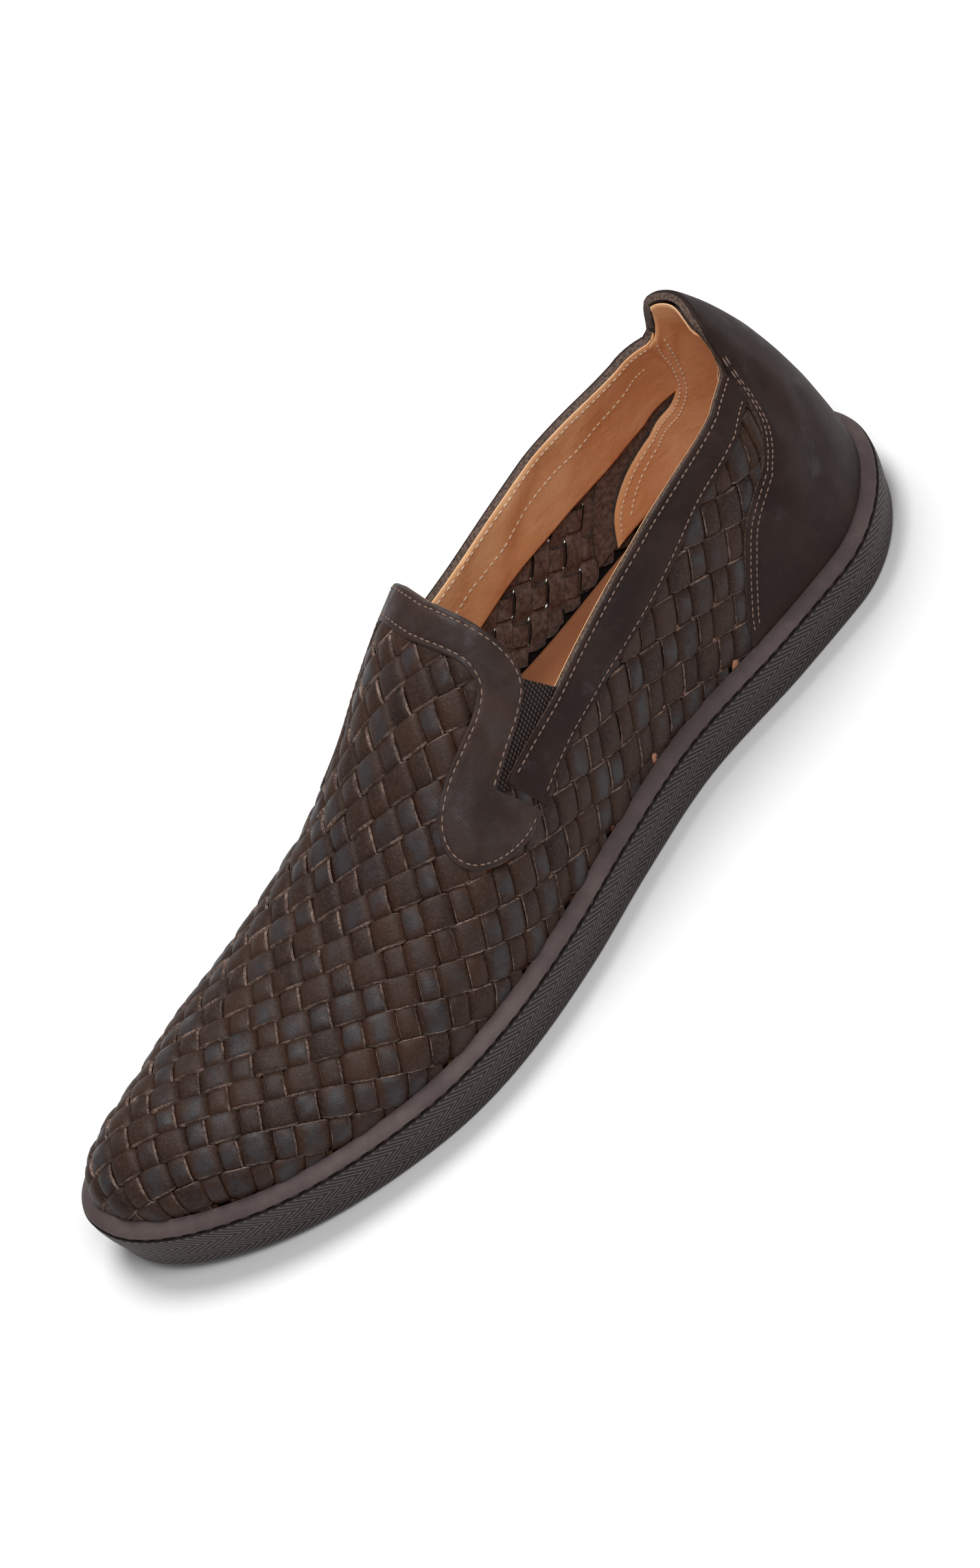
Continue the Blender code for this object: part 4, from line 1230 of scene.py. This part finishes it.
def tread_blocks():
    """Corners and faces of a bent block for each chevron groove of the tread."""
    edge = outline(BOTTOM_INSET + BOTTOM_EDGE + TREAD_MARGIN)
    bend = TREAD_PITCH * 0.6
    corners, faces = [], []
    for first, last in TREAD_ZONES:
        for x in np.arange(first * LENGTH, last * LENGTH, TREAD_PITCH):
            across = edge[np.abs(edge[:, 0] - x) < TREAD_PITCH / 2, 1]
            y0, y1 = across[across < across.mean()].max(), across[across > across.mean()].min()
            base = len(corners)
            for dx in (0.0, TREAD_GROOVE):
                for z in (-TREAD_DEPTH, TREAD_DEPTH + toe_lift(x)):
                    corners += [(x + dx - bend, y0, z), (x + dx, (y0 + y1) / 2, z), (x + dx - bend, y1, z)]
            near_low, near_high, far_low, far_high = (base + 3 * k for k in range(4))
            for k in (0, 1):
                faces += [
                    (near_low + k, near_high + k, near_high + k + 1, near_low + k + 1),
                    (far_low + k, far_low + k + 1, far_high + k + 1, far_high + k),
                    (near_low + k, near_low + k + 1, far_low + k + 1, far_low + k),
                    (near_high + k, far_high + k, far_high + k + 1, near_high + k + 1),
                ]
            faces.append((near_low, far_low, far_high, near_high))
            faces.append((near_low + 2, near_high + 2, far_high + 2, far_low + 2))
    return np.array(corners, float), faces


def cut_tread(piece, materials):
    """Chevron grooves in the tread, under the ball of the foot and under the heel."""
    corners, faces = tread_blocks()
    mesh = bpy.data.meshes.new("tread_cutter")
    mesh.from_pydata((corners - MIDDLE).tolist(), [], faces)
    for made in materials:
        mesh.materials.append(made)
    mesh.polygons.foreach_set("material_index", np.full(len(faces), 2, dtype=np.int32))
    cutter = bpy.data.objects.new("tread_cutter", mesh)
    bpy.context.scene.collection.objects.link(cutter)
    cut = piece.modifiers.new("tread", "BOOLEAN")
    cut.operation = "DIFFERENCE"
    cut.solver = "EXACT"
    cut.object = cutter
    seen = piece.evaluated_get(bpy.context.evaluated_depsgraph_get())
    whole = bpy.data.meshes.new_from_object(seen)
    piece.modifiers.clear()
    piece.data = whole
    bpy.data.objects.remove(cutter)
    whole.set_sharp_from_angle(angle=np.radians(SOLE_SHARP))


def sole():
    """Cup sole as rings round the shoe: foot, ribbed wall, groove, rim band and the cup inside."""
    foot, out, lift, run = rim_frame(421)
    count = len(foot)
    low, high = WALL_HEIGHT - GROOVE_WIDTH, WALL_HEIGHT
    lip = GROOVE_WIDTH / 6
    wall = [(RIM_WIDTH - BOTTOM_INSET * (1 - eased(t)) * (1 - 0.35 * t), z)
            for t, z in zip(np.linspace(0.0, 1, 7), np.linspace(BOTTOM_EDGE, low, 7))]
    rings = [
        (RIM_WIDTH - BOTTOM_INSET - BOTTOM_EDGE, 0.0, 2),
        (RIM_WIDTH - BOTTOM_INSET - BOTTOM_EDGE * 0.3, BOTTOM_EDGE * 0.3, 2),
        *[(o, z, 0) for o, z in wall],
        (RIM_WIDTH - GROOVE_DEPTH, low + lip, 2),
        (RIM_WIDTH - GROOVE_DEPTH, high - lip, 2),
        (RIM_WIDTH - GROOVE_DEPTH * 0.35, high, 1),
        (RIM_WIDTH * 0.86, high + RIM_RISE * 0.28, 1),
        (RIM_WIDTH * 0.60, high + RIM_RISE * 0.62, 1),
        (RIM_WIDTH * 0.30, high + RIM_RISE * 0.90, 1),
        (RIM_WIDTH * 0.12, RIM_TOP, 1),
        (SEAT_GAP, RIM_TOP - 0.0003, 1),
        (SEAT_GAP, CUP_FLOOR, 2),
    ]
    points, flats = [], []
    for o, z, _ in rings:
        ring = foot + out * o
        ring[:, 2] = z + lift
        points.append(ring)
        flats.append(np.column_stack([run[:-1], np.full(count, z)]))
    faces = [(a, d, c, b) for a, b, c, d in tube(len(rings), count)]
    slots = np.repeat([2, *(slot for _, _, slot in rings[2:])], count).tolist()
    faces += crossing(0, count, False) + crossing((len(rings) - 1) * count, count, True)
    slots += [2] * (len(faces) - len(slots))
    materials = [MATERIALS["wall"], MATERIALS["rim"], MATERIALS["groove"]]
    points, flats = np.concatenate(points), np.concatenate(flats)
    piece = add_piece("rubber_sole", points, faces, materials, slots, SOLE_SHARP, flats)
    cut_tread(piece, materials)
    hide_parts("cup_sole")
    return foot, out, lift, run


def rim_stitches(foot, out, lift, run):
    """Long stitches in the groove, a little uneven."""
    closed = np.concatenate([foot + out * (RIM_WIDTH - GROOVE_DEPTH * 0.75), foot[:1] + out[:1] * RIM_WIDTH])
    closed[:, 2] = WALL_HEIGHT - GROOVE_WIDTH / 2 + np.concatenate([lift, lift[:1]])
    t = np.linspace(-1, 1, THREAD_RINGS)
    size = RIM_THREAD * np.sqrt(np.clip(1 - np.abs(t) ** 3, 0.05, 1))
    points, faces = [], []
    for k in range(int(run[-1] / RIM_STITCH_PITCH)):
        shift, stretch = CHANCE[5, k % CHANCES, :2]
        middle = (k + 0.5 + 0.25 * (shift - 0.5)) * RIM_STITCH_PITCH
        at = middle + t * RIM_STITCH_LENGTH / 2 * (0.8 + 0.35 * stretch)
        line = np.column_stack([np.interp(at, run, closed[:, c]) for c in range(3)])
        axis = line[-1] - line[0]
        axis /= np.linalg.norm(axis)
        side = np.cross(axis, (0, 0, 1))
        side /= np.linalg.norm(side)
        faces += tube(THREAD_RINGS, THREAD_SIDES, sum(map(len, points)))
        points.append(thread_rings(line, side, np.cross(side, axis), size))
    piece = add_piece("sole_stitches", np.concatenate(points), faces, [MATERIALS["rim_thread"]], angle=80)


def insole(foot, out, lift):
    """The insole's leather cover, out to the upper, with a soft edge and a slight hollow."""
    count = len(foot)
    top = CUP_FLOOR + SEAT_GAP + INSOLE_THICKNESS
    rings = INSOLE_RINGS
    points = []
    for inset, rise in rings:
        ring = foot - out * inset
        ring[:, 2] = top + rise + lift
        points.append(ring)
    faces = tube(len(rings), count)
    faces += crossing((len(rings) - 1) * count, count, True) + crossing(0, count, False)
    piece = add_piece("insole_cover", np.concatenate(points), faces, [MATERIALS["insole"]])
    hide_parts("insole")


# Floor, light and camera


def floor():
    mesh = bpy.data.meshes.new("floor")
    reach = 6.0
    mesh.from_pydata([(-reach, -reach, 0), (reach, -reach, 0), (reach, reach, 0), (-reach, reach, 0)], [],
                     [(0, 1, 2, 3)])
    shades = Shades("floor_white", (0.93, 0.93, 0.93), 0.9, 0.1)
    mesh.materials.append(shades.material)
    plane = bpy.data.objects.new("floor", mesh)
    bpy.context.scene.collection.objects.link(plane)
    plane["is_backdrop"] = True


def lamp(name, place, target, size, power):
    light = bpy.data.lights.new(name, "AREA")
    light.shape = "DISK"
    light.size = size
    light.energy = power
    lit = bpy.data.objects.new(name, light)
    bpy.context.scene.collection.objects.link(lit)
    lit.location = place
    away = Vector(place) - Vector(target)
    lit.rotation_euler = away.to_track_quat("Z", "Y").to_euler()


def lights():
    world = bpy.data.worlds.new("studio")
    bpy.context.scene.world = world
    world.use_nodes = True
    world.node_tree.nodes["Background"].inputs["Color"].default_value = (1, 1, 1, 1)
    world.node_tree.nodes["Background"].inputs["Strength"].default_value = 0.30
    lamp("key", (-0.25, -0.45, 1.80), (0, 0, 0), 0.9, 21)
    lamp("side", (0.10, 0.85, 1.50), (0, 0, 0), 0.8, 11)


def camera():
    azimuth, elevation = np.radians(CAMERA_AZIMUTH), np.radians(CAMERA_ELEVATION)
    roll = np.radians(CAMERA_ROLL)
    level_back = np.array([np.cos(azimuth), np.sin(azimuth)]) * np.cos(elevation)
    back = Vector((*level_back, np.sin(elevation)))
    level = Vector((0, 0, 1)).cross(back).normalized()
    above = back.cross(level)
    right = level * np.cos(roll) + above * np.sin(roll)
    up = above * np.cos(roll) - level * np.sin(roll)
    target = Vector(np.array(CAMERA_TARGET) - MIDDLE) + right * FRAME_SHIFT[0] + up * FRAME_SHIFT[1]
    eye = target + back * CAMERA_DISTANCE
    view = Matrix((right, up, back)).transposed().to_4x4()
    view.translation = eye
    data = bpy.data.cameras.new("camera")
    data.lens = data.sensor_width * FOCAL_PIXELS * CLOSER / PHOTO_HEIGHT
    data.clip_end = 20
    shot = bpy.data.objects.new("camera", data)
    bpy.context.scene.collection.objects.link(shot)
    shot.matrix_world = view
    bpy.context.scene.camera = shot


def write_sizes():
    boxes = {"cad": CAD_BOX, "visual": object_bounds()}
    {name: [list(corner) for corner in box] for name, box in boxes.items()}


bpy.context.scene.view_settings.view_transform = "Standard"
weave()
overlays()
gores()
all_stitches(linings())
ROUND = sole()
rim_stitches(*ROUND)
insole(*ROUND[:3])
floor()
lights()
camera()
write_sizes()
